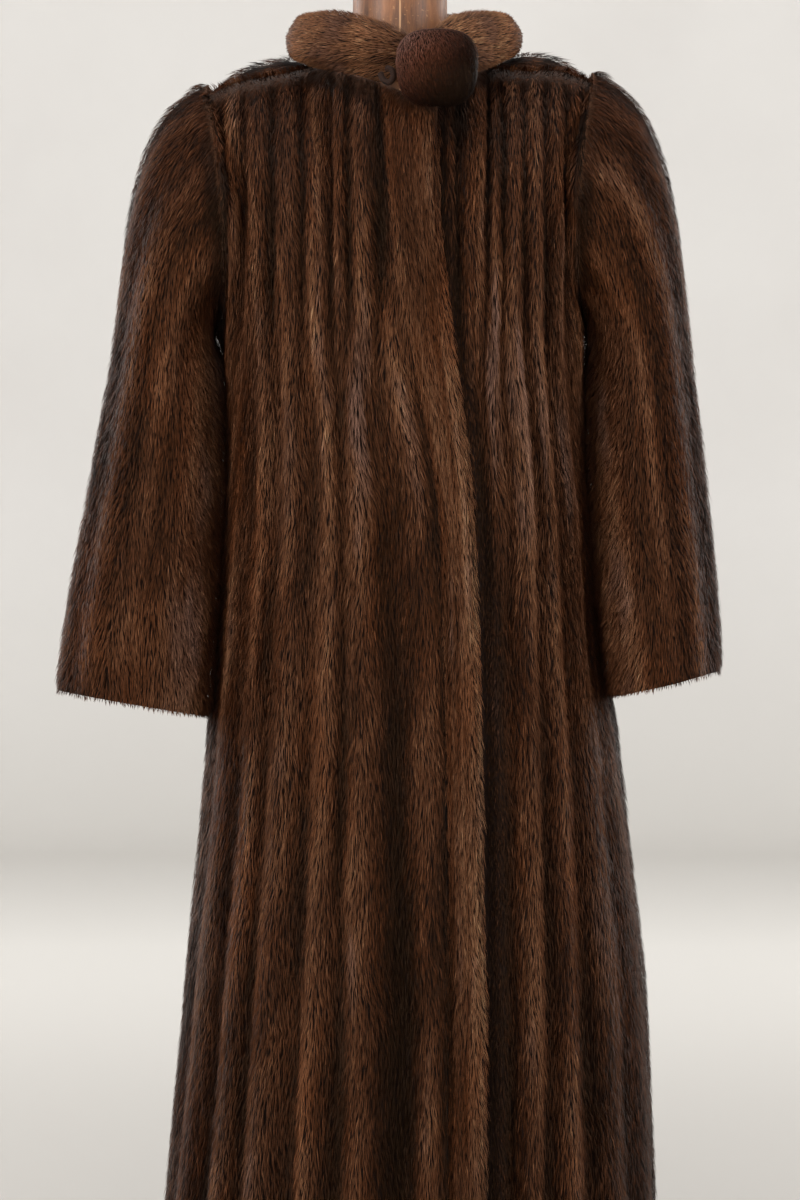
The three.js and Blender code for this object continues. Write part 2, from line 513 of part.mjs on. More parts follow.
// Puffed, rounded-square button: rings from its back to its front
function buildButton(n = 16) {
  const rings = [];
  for (const lift of [0.04, 0.2, 0.42, 0.62, 0.8, 0.94]) {
    const grow = Math.sin(Math.PI * lift) ** 0.5, ring = [];
    for (let i = 0; i < n; i++) {
      const a = 2 * Math.PI * i / n + BUTTON.turn;
      const r = (Math.abs(Math.cos(a)) ** 2.7 + Math.abs(Math.sin(a)) ** 2.7) ** (-1 / 2.7);
      ring.push(vec(BUTTON.x + BUTTON.width / 2 * grow * r * Math.cos(a),
        BUTTON.y + BUTTON.thick * (0.5 - lift), BUTTON.z + BUTTON.height / 2 * grow * r * Math.sin(a)));
    }
    rings.push(ring);
  }
  return loft(rings);
}

function buildLoop(n = 8) {
  const points = LOOP.path.map(([x, y, z]) => vec(x, y, z));
  const curve = new THREE.CatmullRomCurve3(points);
  const steps = 10, frames = curve.computeFrenetFrames(steps), rings = [];
  for (let k = 0; k <= steps; k++) {
    const centre = curve.getPointAt(k / steps), ring = [];
    for (let i = 0; i < n; i++) {
      const a = 2 * Math.PI * i / n;
      ring.push(centre.clone().addScaledVector(frames.normals[k], LOOP.radius * Math.cos(a))
        .addScaledVector(frames.binormals[k], LOOP.radius * Math.sin(a)));
    }
    rings.push(ring);
  }
  return loft(rings);
}

// The form's ring at one height, its shoulders carried higher than its front and back
function formRing(row) {
  const ring = [];
  for (let i = 0; i < FORM_SIDES; i++) {
    const a = 2 * Math.PI * i / FORM_SIDES, s = Math.sin(a), c = Math.cos(a);
    const depth = c > 0 ? row.front : row.back;
    const low = c > 0 ? row.fz : row.bz;
    ring.push(settle(vec(row.wide * s, -depth * c, low + (row.side - low) * Math.abs(s) ** 6)));
  }
  return ring;
}

function roundStack(rows, n) {
  return loft(rows.map(([r, z]) => Array.from({ length: n }, (_, i) => {
    const a = 2 * Math.PI * i / n;
    return vec(r * Math.cos(a), r * Math.sin(a), z);
  })));
}

// Materials
const fabric = (colour, roughness) => new THREE.MeshStandardMaterial({ color: colour, roughness,
  metalness: 0 });
const MATERIAL = {
  fur: fabric('#4a2f20', 0.85), border: fabric('#6b4a33', 0.85), collar: fabric('#5c3e2a', 0.85),
  button: fabric('#3a2016', 0.8), loop: fabric('#2c1a12', 0.8), form: fabric('#6d4526', 0.45),
  stand: new THREE.MeshStandardMaterial({ color: '#2b2a29', roughness: 0.4, metalness: 0.9 }),
};

const coat = new THREE.Group();
function add(name, geometry, material) {
  const mesh = new THREE.Mesh(geometry, material);
  mesh.name = name;
  coat.add(mesh);
}

// The back runs from the left side seam by the centre back to the right side seam.
const withMid = (line) => ({ ...line, mid: mix(line.hem, line.bust, 0.72) });
const BACK = [
  ...BACK_HALF.map(withMid),
  ...BACK_HALF.slice(0, -1).reverse().map((line) => withMid({ ...line, fold: line.other,
    bust: -line.bust, hem: -line.hem })),
];
BORDER[0].seam = 1;
FRONT_RIGHT[0].seam = -1;

add('coat_back', buildPanel({ lines: BACK, isBack: true }), MATERIAL.fur);
add('coat_front_right', buildPanel({ lines: FRONT_RIGHT, rightFront: true, turned: true }),
  MATERIAL.fur);
add('front_border', buildPanel({ lines: BORDER, rightFront: true }), MATERIAL.border);
add('coat_front_left', buildPanel({ lines: FRONT_LEFT, under: true }), MATERIAL.fur);
add('sleeve_left', buildSleeve(SLEEVE_LEFT, 1, 2), MATERIAL.fur);
add('sleeve_right', buildSleeve(SLEEVE_RIGHT, -1, 2), MATERIAL.fur);
add('collar', buildCollar(), MATERIAL.collar);
add('fur_button', buildButton(), MATERIAL.button);
add('button_loop', buildLoop(), MATERIAL.loop);
add('form_torso', loft(FORM.map(formRing)), MATERIAL.form);
add('form_pole', roundStack([[POLE.radius, POLE.low], [POLE.radius, POLE.high]], 20), MATERIAL.stand);
add('form_base', roundStack([[BASE.radius, 0], [BASE.radius, BASE.height - 3],
  [BASE.radius - 4, BASE.height - 0.4], [0.5, BASE.height - 0.4]], 40), MATERIAL.stand);

export default coat;
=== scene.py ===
# Full-length let-out mink coat on a limbless dress form, fastened at the neck with a fur-covered
# button. Sizes are millimetres until a mesh is made; the front of the coat faces -Y and the
# wearer's right is -X, as in the frame.
import math
import bpy
import numpy as np
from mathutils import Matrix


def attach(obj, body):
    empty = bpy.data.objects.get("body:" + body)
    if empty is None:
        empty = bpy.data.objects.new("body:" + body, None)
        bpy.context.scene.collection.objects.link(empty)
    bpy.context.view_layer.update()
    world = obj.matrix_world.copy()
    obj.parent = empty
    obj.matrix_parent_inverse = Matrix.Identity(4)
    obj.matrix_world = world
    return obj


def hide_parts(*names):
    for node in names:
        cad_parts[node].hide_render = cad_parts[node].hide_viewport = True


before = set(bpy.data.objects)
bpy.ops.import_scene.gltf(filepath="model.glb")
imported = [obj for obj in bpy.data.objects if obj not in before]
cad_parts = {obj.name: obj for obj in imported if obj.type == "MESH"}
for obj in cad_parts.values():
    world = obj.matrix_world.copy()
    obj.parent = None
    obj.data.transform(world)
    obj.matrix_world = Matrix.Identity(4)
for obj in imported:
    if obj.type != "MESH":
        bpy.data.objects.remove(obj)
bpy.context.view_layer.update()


# Studio: a wide round sweep of painted floor and wall with its own lights, a broad soft light at
# the left, weaker ones at the right, in front, above and behind each side; a level camera 6 m off.
def linear(hex_colour):
    c = np.array([int(hex_colour[i:i + 2], 16) / 255 for i in (1, 3, 5)])
    return tuple(np.where(c <= 0.04045, c / 12.92, ((c + 0.055) / 1.055) ** 2.4)) + (1.0,)


def node(tree, kind, settings=None, **links):
    """Adds a node: settings are its properties, and links its sockets by name or number."""
    made = tree.nodes.new(kind)
    for key, value in (settings or {}).items():
        setattr(made, key, value)
    for key, value in links.items():
        key = key.replace("_", " ")
        socket = made.inputs[int(key[2:])] if key[:2] == "in" and key[2:].isdigit() else made.inputs[key]
        if isinstance(value, bpy.types.NodeSocket):
            tree.links.new(value, socket)
        else:
            socket.default_value = value
    return made


def material(name, shader=None):
    """A new material with its Principled shader's constants set on the shader's own sockets."""
    made = bpy.data.materials.new(name)
    made.use_nodes = True
    principled = made.node_tree.nodes["Principled BSDF"]
    for key, value in (shader or {}).items():
        principled.inputs[key].default_value = value
    return made, made.node_tree, principled


def mesh_object(name, points, faces):
    """A smooth-shaded mesh object at the origin from points in millimetres."""
    mesh = bpy.data.meshes.new(name)
    mesh.from_pydata((np.asarray(points) * 0.001).tolist(), [], [list(map(int, f)) for f in faces])
    mesh.polygons.foreach_set("use_smooth", [True] * len(mesh.polygons))
    mesh.update()
    made = bpy.data.objects.new(name, mesh)
    bpy.context.scene.collection.objects.link(made)
    return made


def grid_faces(columns, rows, ring=False, start=0, flip=False):
    """Quads of a grid of points stored column by column."""
    i, j = np.meshgrid(np.arange(columns if ring else columns - 1), np.arange(rows - 1), indexing="ij")
    i, j = i.ravel(), j.ravel()
    k = (i + 1) % columns
    quads = np.stack([i * rows + j, k * rows + j, k * rows + j + 1, i * rows + j + 1], axis=1) + start
    return quads[:, ::-1] if flip else quads


def soft_light(name, place, aim, size, power):
    """An area light; place, aim and size in metres, power in watts."""
    lamp = bpy.data.lights.new(name, "AREA")
    lamp.shape, lamp.size, lamp.size_y, lamp.energy = "RECTANGLE", size[0], size[1], power
    made = bpy.data.objects.new(name, lamp)
    made.location = place
    toward = np.array(aim) - np.array(place)
    made.rotation_euler = (math.atan2(math.hypot(toward[0], toward[1]), -toward[2]), 0,
                           math.atan2(-toward[0], toward[1]))
    bpy.context.scene.collection.objects.link(made)
    return made


CAMERA = {"away": 6, "height": 0.8468, "film": 36, "view": 1.26}
camera_data = bpy.data.cameras.new("level_camera")
camera_data.sensor_width = CAMERA["film"]
camera_data.lens = CAMERA["film"] * CAMERA["away"] / CAMERA["view"]
camera = bpy.data.objects.new("level_camera", camera_data)
camera.location, camera.rotation_euler = (0, -CAMERA["away"], CAMERA["height"]), (math.pi / 2, 0, 0)
bpy.context.scene.collection.objects.link(camera)
bpy.context.scene.camera = camera
bpy.context.scene.view_settings.view_transform = "Standard"

for name, place, aim_height, size, power in (
        ("left", (-2.3, -1.9, 2.1), 0.85, (1.0, 1.8), 92),
        ("right", (2.4, -1.7, 1.9), 0.8, (0.9, 1.7), 56),
        ("front", (-0.3, -3.6, 2.2), 0.9, (1.6, 1.2), 36),
        ("rear_left", (-2.6, 1.9, 2.0), 0.8, (1.0, 1.6), 40),
        ("rear_right", (2.6, 1.9, 2.0), 0.8, (1.0, 1.6), 30),
        ("top", (0.1, -0.4, 3.1), 1.0, (1.6, 0.9), 24)):
    soft_light(f"{name}_softbox", place, (0, 0, aim_height), size, power)
for name, x, y in (("behind", 0, 1), ("right", 1, 0), ("front", 0, -1), ("left", -1, 0)):
    soft_light(f"backdrop_light_{name}", (3.4 * x, 3.4 * y, 7.2), (14.0 * x, 14.0 * y, 2.2), (6.0, 2.4), 900)
world = bpy.data.worlds.new("pale_studio")
world.use_nodes = True
world.node_tree.nodes["Background"].inputs["Color"].default_value = linear("#e9e8e6")
world.node_tree.nodes["Background"].inputs["Strength"].default_value = 0.36
bpy.context.scene.world = world

# Matt emulsion paint, rolled: a pale wall with a barely visible mottle, running into a greyer floor that is
# painted darker near the stand and lighter far off, as painted light.
matt_paint, tree, shader = material("matt_emulsion_paint", {"Roughness": 0.9, "Specular IOR Level": 0.2})
place = node(tree, "ShaderNodeTexCoord")
mottle = node(tree, "ShaderNodeTexNoise", Vector=place.outputs["Object"], Scale=1.6, Detail=4.0)
tone = node(tree, "ShaderNodeMix", {"data_type": "RGBA"}, Factor=mottle.outputs["Fac"],
            in6=linear("#cecbc8"), in7=linear("#d9d7d4"))
apart = node(tree, "ShaderNodeSeparateXYZ", Vector=place.outputs["Object"])
rise = node(tree, "ShaderNodeMapRange", Value=apart.outputs["Z"], From_Max=1.2)
# Painted light: the floor's colour grows lighter from 0.8 m to 8 m out, where the lamps light it less.
away = node(tree, "ShaderNodeVectorMath", {"operation": "LENGTH"}, Vector=place.outputs["Object"])
specks_and_painted_floor_light = node(tree, "ShaderNodeMapRange", Value=away.outputs["Value"], From_Min=0.8, From_Max=8.0)
floor = node(tree, "ShaderNodeMix", {"data_type": "RGBA"}, Factor=specks_and_painted_floor_light.outputs[0],
             in6=linear("#a19d98"), in7=linear("#cbc8c3"))
coat_of_paint = node(tree, "ShaderNodeMix", {"data_type": "RGBA"}, Factor=rise.outputs[0],
                     in6=floor.outputs[2], in7=tone.outputs[2])
tree.links.new(coat_of_paint.outputs[2], shader.inputs["Base Color"])
SWEEP = {"floor": 13000, "curve": 1500, "high": 9000, "under": 0.5, "sides": 96}
wall = SWEEP["floor"] + SWEEP["curve"]
profile = [(10, 0), (6000, 0), (SWEEP["floor"], 0)]
profile += [(SWEEP["floor"] + SWEEP["curve"] * math.sin(a), SWEEP["curve"] - SWEEP["curve"] * math.cos(a))
            for a in np.linspace(0.2, math.pi / 2, 10)]
profile += [(wall, 4000), (wall, SWEEP["high"])]
turn = np.linspace(0, 2 * math.pi, SWEEP["sides"], endpoint=False)
sweep = mesh_object("studio_sweep", [(r * math.cos(a), r * math.sin(a), z - SWEEP["under"])
                                     for a in turn for r, z in profile],
                    grid_faces(SWEEP["sides"], len(profile), ring=True))
sweep.data.materials.append(matt_paint)


# Dress form: a limbless torso of moulded board under a tight leather cover, varnished and worn at
# the neck, with a closed seam down the front of the neck. It stands whole inside the coat.
def table(names, rows):
    """A table of numbers with named columns; k counts its rows."""
    return dict(zip(names.split(), np.array(rows, float).T), k=np.arange(float(len(rows))))


def ease(x, low, high):
    s = np.clip((x - low) / (high - low), 0, 1)
    return s * s * (3 - 2 * s)


def mix(a, b, s):
    return a + (b - a) * s


def track(rows, key, at, by="z"):
    """One column of a table at a height or station, smooth through the rows."""
    x, y = rows[by], rows[key]
    slope = np.empty(len(x))
    slope[1:-1] = (y[2:] - y[:-2]) / (x[2:] - x[:-2])
    slope[0], slope[-1] = (y[1] - y[0]) / (x[1] - x[0]), (y[-1] - y[-2]) / (x[-1] - x[-2])
    i = np.clip(np.searchsorted(x, at) - 1, 0, len(x) - 2)
    span = x[i + 1] - x[i]
    s = np.clip((at - x[i]) / span, 0, 1)
    return ((1 + 2 * s) * (1 - s) ** 2 * y[i] + s * (1 - s) ** 2 * span * slope[i]
            + s * s * (3 - 2 * s) * y[i + 1] - s * s * (1 - s) * span * slope[i + 1])


def settle(p):
    """The wearer's right shoulder hangs lower towards its end."""
    drop = 13 * ease(-p[..., 0], 85, 198) * ease(p[..., 2], 1150, 1350)
    p[..., 2] -= np.where(p[..., 0] < 0, drop, 0)
    return p


def outward(points, faces):
    """Faces turned so that a closed mesh encloses a positive volume."""
    p, total = np.asarray(points), 0.0
    for f in faces:
        for a, b in zip(f[1:-1], f[2:]):
            total += np.dot(p[f[0]], np.cross(p[a], p[b]))
    return faces if total > 0 else [tuple(reversed(tuple(f))) for f in faces]


def closed_loft(name, rings):
    """Rings of points joined into a solid with a fan at each end."""
    rings = np.asarray(rings)
    count, around = rings.shape[:2]
    points = list(rings.reshape(-1, 3)) + [rings[0].mean(axis=0), rings[-1].mean(axis=0)]
    faces = []
    for k in range(count - 1):
        for i in range(around):
            a, b = k * around + i, k * around + (i + 1) % around
            faces.append((a, b, b + around, a + around))
    for i in range(around):
        j = (i + 1) % around
        faces.append((j, i, len(points) - 2))
        faces.append(((count - 1) * around + i, (count - 1) * around + j, len(points) - 1))
    return mesh_object(name, points, outward(points, faces))


FORM = table("wide front back side fz bz", [
    (128, 92, 98, 722, 722, 722), (150, 104, 112, 728, 728, 728), (158, 108, 120, 790, 790, 790),
    (150, 102, 112, 870, 870, 870), (132, 94, 98, 970, 970, 970), (138, 100, 100, 1050, 1040, 1050),
    (154, 106, 106, 1130, 1110, 1130), (164, 102, 108, 1210, 1180, 1205),
    (170, 88, 98, 1290, 1250, 1275), (175, 74, 80, 1349, 1305, 1316), (167, 64, 66, 1395, 1345, 1346),
    (140, 55, 54, 1403.1, 1370, 1366), (104, 51, 50, 1396.8, 1383, 1375),
    (72, 50, 49, 1391, 1392, 1389), (54, 50, 49, 1424, 1421, 1427), (50, 50, 48, 1450, 1448, 1450),
    (49, 49, 48, 1492, 1492, 1492), (44, 44, 43, 1502, 1502, 1502)])
rings = []
turn = np.linspace(0, 2 * math.pi, 96, endpoint=False)
s, c = np.sin(turn), np.cos(turn)
for k in [x / 3 for x in range(3 * (len(FORM["k"]) - 1) + 1)]:
    row = {key: track(FORM, key, k, "k") for key in FORM}
    low = np.where(c > 0, row["fz"], row["bz"])
    depth = np.where(c > 0, row["front"], row["back"])
    rings.append(settle(np.stack([row["wide"] * s, -depth * c,
                                  low + (row["side"] - low) * np.abs(s) ** 6], axis=1)) * (0.998, 0.998, 1))
form = closed_loft("form_cover", rings)

# Vegetable-tanned leather, stretched and varnished: it shows a fine grain, tan streaks where it
# has rubbed, dark specks and a pale closed seam.
leather, tree, shader = material("varnished_leather", {
    "Roughness": 0.5, "IOR": 1.5, "Specular IOR Level": 0.35, "Coat Weight": 0.08, "Coat Roughness": 0.3})
place = node(tree, "ShaderNodeTexCoord")
streak_map = node(tree, "ShaderNodeMapping", Vector=place.outputs["Object"], Scale=(60, 60, 9))
streaks = node(tree, "ShaderNodeTexNoise", Vector=streak_map.outputs[0], Scale=1.4, Detail=6.0,
               Roughness=0.7)
base = node(tree, "ShaderNodeValToRGB", Fac=streaks.outputs["Fac"])
base.color_ramp.elements[0].position, base.color_ramp.elements[0].color = 0.3, linear("#3a200f")
base.color_ramp.elements[1].position, base.color_ramp.elements[1].color = 0.72, linear("#8a5730")
specks = node(tree, "ShaderNodeTexNoise", Vector=place.outputs["Object"], Scale=240.0, Detail=2.0)
speck_cut = node(tree, "ShaderNodeMapRange", Value=specks.outputs["Fac"], From_Min=0.64, From_Max=0.8)
specks_and_painted_floor_light = node(tree, "ShaderNodeMix", {"data_type": "RGBA"}, Factor=speck_cut.outputs[0],
            in6=base.outputs[0], in7=linear("#a3754a"))
apart = node(tree, "ShaderNodeSeparateXYZ", Vector=place.outputs["Object"])
side_way = node(tree, "ShaderNodeMath", {"operation": "ABSOLUTE"}, in0=apart.outputs["X"])
seam = node(tree, "ShaderNodeMapRange", Value=side_way.outputs[0], From_Min=0.0003, From_Max=0.0013,
            To_Min=1.0, To_Max=0.0)
front_only = node(tree, "ShaderNodeMath", {"operation": "LESS_THAN"}, in0=apart.outputs["Y"], in1=0.0)
seam_front = node(tree, "ShaderNodeMath", {"operation": "MULTIPLY"}, in0=seam.outputs[0],
                  in1=front_only.outputs[0])
seamed = node(tree, "ShaderNodeMix", {"data_type": "RGBA"}, Factor=seam_front.outputs[0],
              in6=specks_and_painted_floor_light.outputs[2], in7=linear("#a9805a"))
tree.links.new(seamed.outputs[2], shader.inputs["Base Color"])
grain = node(tree, "ShaderNodeTexVoronoi", {"feature": "F1"}, Vector=place.outputs["Object"], Scale=900.0)
raised = node(tree, "ShaderNodeBump", Height=grain.outputs["Distance"], Strength=0.12, Distance=0.0006)
tree.links.new(raised.outputs[0], shader.inputs["Normal"])
form.data.materials.append(leather)
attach(form, "root")
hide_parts("form_torso")


# Stand: a turned steel base plate and a round pole that enters the form, both powder coated.
def turned(name, profile, sides=96):
    angles = np.linspace(0, 2 * math.pi, sides, endpoint=False)
    return closed_loft(name, [np.stack([r * np.cos(angles), r * np.sin(angles), np.full(sides, z)], axis=1)
                              for r, z in profile])


pole = turned("stand_pole", [(12.4, 14.05), (13, 14.7), (13, 300), (13, 720.8), (12.4, 721.4)], 48)
plate = turned("stand_plate", [(171, 0), (173.8, 0.4), (175, 1.6), (175, 10.2), (174.4, 11.8),
                               (172.6, 13.0), (170.2, 13.5), (120, 13.6), (60, 13.6), (30, 13.6), (8, 13.6)])

# Powder coating over steel: an even satin black with a fine orange peel.
coating, tree, shader = material("powder_coated_steel", {"Roughness": 0.42, "IOR": 1.5})
place = node(tree, "ShaderNodeTexCoord")
peel = node(tree, "ShaderNodeTexNoise", Vector=place.outputs["Object"], Scale=420.0, Detail=2.0)
shade = node(tree, "ShaderNodeMix", {"data_type": "RGBA"}, Factor=peel.outputs["Fac"],
             in6=linear("#1d1c1b"), in7=linear("#2b2a28"))
tree.links.new(shade.outputs[2], shader.inputs["Base Color"])
skin_bump = node(tree, "ShaderNodeBump", Height=peel.outputs["Fac"], Strength=0.2, Distance=0.0004)
tree.links.new(skin_bump.outputs[0], shader.inputs["Normal"])
for piece, cad in ((pole, "form_pole"), (plate, "form_base")):
    piece.data.materials.append(coating)
    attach(piece, "root")
    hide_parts(cad)


# Right front: pelts let out into narrow lengthwise strips, sewn edge to edge and hanging in folds
# that widen to the hem. Each panel is a thin pelt, and the guard hair on it is a piece of its own.
HEM_Z, MID_Z, BUST_Z = 150, 910, 1115
PILE = 4            # height of the pile over the pelt
PILE_LOW = 1.2      # the same beside a sleeve
PILE_SEAM = 0.9     # the same at a seam
PELT = 4.5          # pelt and dense underfur
ROWS = 97           # rows of a panel's grid, odd so that every second one ends at the seam
BODY = table("z right left front back square", [
    (150, 250, 271, 214, 236, 2.0), (450, 225, 257, 190, 206, 2.05), (575, 212, 243, 179, 191, 2.1),
    (700, 202, 228, 169, 177, 2.2), (785, 194, 213, 162, 168, 2.3), (885, 187, 204, 156, 160, 2.4),
    (1000, 181, 193, 151, 154, 2.6), (1115, 180, 190, 147, 150, 2.9), (1200, 183, 191, 140, 146, 3.0)])
NECKLINE = np.array([(30, -118, 1368), (54, -106, 1384), (78, -78, 1397), (93, -38, 1403),
                     (92, 16, 1413), (60, 60, 1417), (0, 76, 1418)], float)
NECKLINE_RIGHT = np.array([(39, -124, 1356), (-21, -117, 1380), (-66, -84, 1396), (-91, -38, 1402)], float)
SHOULDER = np.array([(93, -38, 1403), (125, -40, 1400), (165, -38, 1399.5), (201, -22, 1391)], float)
ARMHOLE = np.array([(201, -22, 1391), (194, -62, 1348), (186, -84, 1273), (185, -72, 1190),
                    (191, -38, 1140), (195, 2, 1126), (192, 44, 1140), (187, 80, 1190), (187, 94, 1270),
                    (195, 66, 1355), (201, 18, 1400)], float)
ARRIVE_FRONT = table("q x y z pull", [
    (0, 0, 0.3, 0.95, 280), (0.9, 0, 0.66, 0.75, 330), (1.8, 0.15, 0.62, 0.75, 330),
    (2.3, 0.4, 0.2, 0.85, 220), (3, 0.45, 0.02, 0.85, 120), (4, 0.25, 0, 0.95, 60)])
ARRIVE_BACK = table("q x y z pull", [
    (0, 0, -0.45, 0.88, 260), (0.75, 0, -0.8, 0.5, 330), (1, 0, -0.9, -0.1, 360),
    (1.2, 0, -0.84, -0.55, 480), (1.8, 0.1, -0.84, -0.5, 460), (2.25, 0.4, -0.5, 0.6, 240),
    (3, 0.45, -0.02, 0.85, 130), (4, 0.25, 0, 0.95, 60)])
EDGE = table("z x", [(150, 106), (670, 106), (882, 94), (1080, 70), (1214, 48), (1356, 39)])


def along(points, q, closed=False):
    """Smooth curve through points, q from 0 to 1."""
    n = len(points)
    steps = n if closed else n - 1
    i = min(int(q * steps), steps - 1)
    s = q * steps - i
    pick = (lambda k: points[k % n]) if closed else (lambda k: points[min(max(k, 0), n - 1)])
    a, b, c, d = pick(i - 1), pick(i), pick(i + 1), pick(i + 2)
    return b + 0.5 * s * (c - a + s * (2 * a - 5 * b + 4 * c - d + s * (3 * (b - c) + d - a)))


def hermite(a, ta, b, tb, s):
    s = s[:, None]
    return ((1 + 2 * s) * (1 - s) ** 2 * a + s * (1 - s) ** 2 * ta + s * s * (3 - 2 * s) * b
            - s * s * (1 - s) * tb)


def body_point(z, degrees):
    """Points of the smooth body at heights and angles round it."""
    a = np.radians(degrees)
    n = track(BODY, "square", z)
    w = np.where(np.sin(a) < 0, track(BODY, "right", z), track(BODY, "left", z))
    d = np.where(np.cos(a) > 0, track(BODY, "front", z), track(BODY, "back", z))
    r = (np.abs(np.sin(a) / w) ** n + np.abs(np.cos(a) / d) ** n) ** (-1 / n)
    return np.stack([r * np.sin(a), -r * np.cos(a), z + 0 * r], axis=-1)


def armhole(s, is_back):
    low = 5 / len(ARMHOLE)
    q = 1 - s * (1 - low) if is_back else s * low
    return along(ARMHOLE, 0 if q >= 1 else q, True)


def top_point(q, side, is_back, right_front):
    """Upper edge of a panel: neckline 0-1, shoulder seam 1-2, its half of the armhole 2-4."""
    if q < 1 and right_front and not is_back:
        return settle(along(NECKLINE_RIGHT, q).copy())
    if q < 1:
        p = along(NECKLINE[3:], 1 - q) if is_back else along(NECKLINE[:4], q)
    elif q <= 2:
        p = along(SHOULDER, q - 1)
    else:
        p = armhole((q - 2) / 2, is_back)
    return settle(p * (side, 1, 1))


def unit(v):
    return v / np.maximum(np.linalg.norm(v, axis=-1, keepdims=True), 1e-9)


def line_points(line, t, is_back, right_front):
    """Points of a panel's smooth surface on one lengthwise line, t from 0 at the hem to 1."""
    side = -1 if math.sin(math.radians(line["bust"])) < 0 and line["bust"] != 180 else 1
    top = top_point(line["top"], side, is_back, right_front)
    leave = min(BUST_Z, top[2] - 70 + 30 * ease(line["top"], 3, 4))
    turn_rows = table("z v", [(HEM_Z, line["hem"]), (MID_Z, line["mid"]), (BUST_Z, line["bust"])])
    start, below = (body_point(np.array([z]), track(turn_rows, "v", z))[0] for z in (leave, leave - 5))
    rows = ARRIVE_BACK if is_back else ARRIVE_FRONT
    chord = np.linalg.norm(start - top)
    q = line["top"]
    arrive = unit(np.array([side * track(rows, "x", q, "q"), track(rows, "y", q, "q"),
                            track(rows, "z", q, "q")])) * min(track(rows, "pull", q, "q"), 1.5 * chord)
    share = (leave - HEM_Z) / (leave - HEM_Z + chord * 1.12)
    z = mix(HEM_Z, leave, np.minimum(t / share, 1))
    low = body_point(z, track(turn_rows, "v", np.minimum(z, BUST_Z)))
    high = hermite(start, unit(start - below) * min(chord, 330), top, arrive,
                   np.clip((t - share) / (1 - share), 0, 1))
    return np.where((t <= share)[:, None], low, high), top


def waves(a, b, seed, count=6, fall=0.75):
    """Smooth seeded noise of two coordinates, about -1 to 1."""
    rng, total, weight = np.random.default_rng(seed), 0.0, 0.0
    for i in range(count):
        f, w = 1.55 ** i, fall ** i
        angle, shift = rng.uniform(0, 2 * math.pi, 2)
        total = total + w * np.sin(f * (a * math.cos(angle) + b * math.sin(angle)) * 2 * math.pi + shift)
        weight += w * 0.6
    return total / weight


def rim_normal(q, side, top, is_back):
    if q < 1:
        away = unit(np.array([top[0] * 0.8, top[1] + (20 if is_back else 10), 0]))
        return unit(away * 0.8 + (0, 0, 0.6))
    if q <= 2:
        return unit(np.array([side * 0.12, -0.42, 0.9]))
    ring = unit(np.array([0, top[1] - 4, top[2] - 1250]))
    return unit(ring + (side * mix(0.15, 6, ease(q, 2.6, 4) ** 2), 0, 0))


def facing_out(p):
    """Normals of a grid of points, evened over their neighbours and pointing away from the body."""
    n = np.cross(np.gradient(p, axis=0), np.gradient(p, axis=1))
    if np.sum(n[..., :2] * p[..., :2]) < 0:
        n = -n
    for _ in range(4):
        n = unit(n)
        wide = np.pad(n, ((1, 1), (1, 1), (0, 0)), mode="edge")
        n = 2 * n + wide[:-2, 1:-1] + wide[2:, 1:-1] + wide[1:-1, :-2] + wide[1:-1, 2:]
    return unit(n)


def pile_depth(near_top, beside):
    """How far the pelt lies under the reach of the pile: little at a seam and beside a sleeve."""
    return mix(PILE_SEAM, mix(PILE, PILE_LOW, beside), ease(near_top, 1, 22))[..., None]


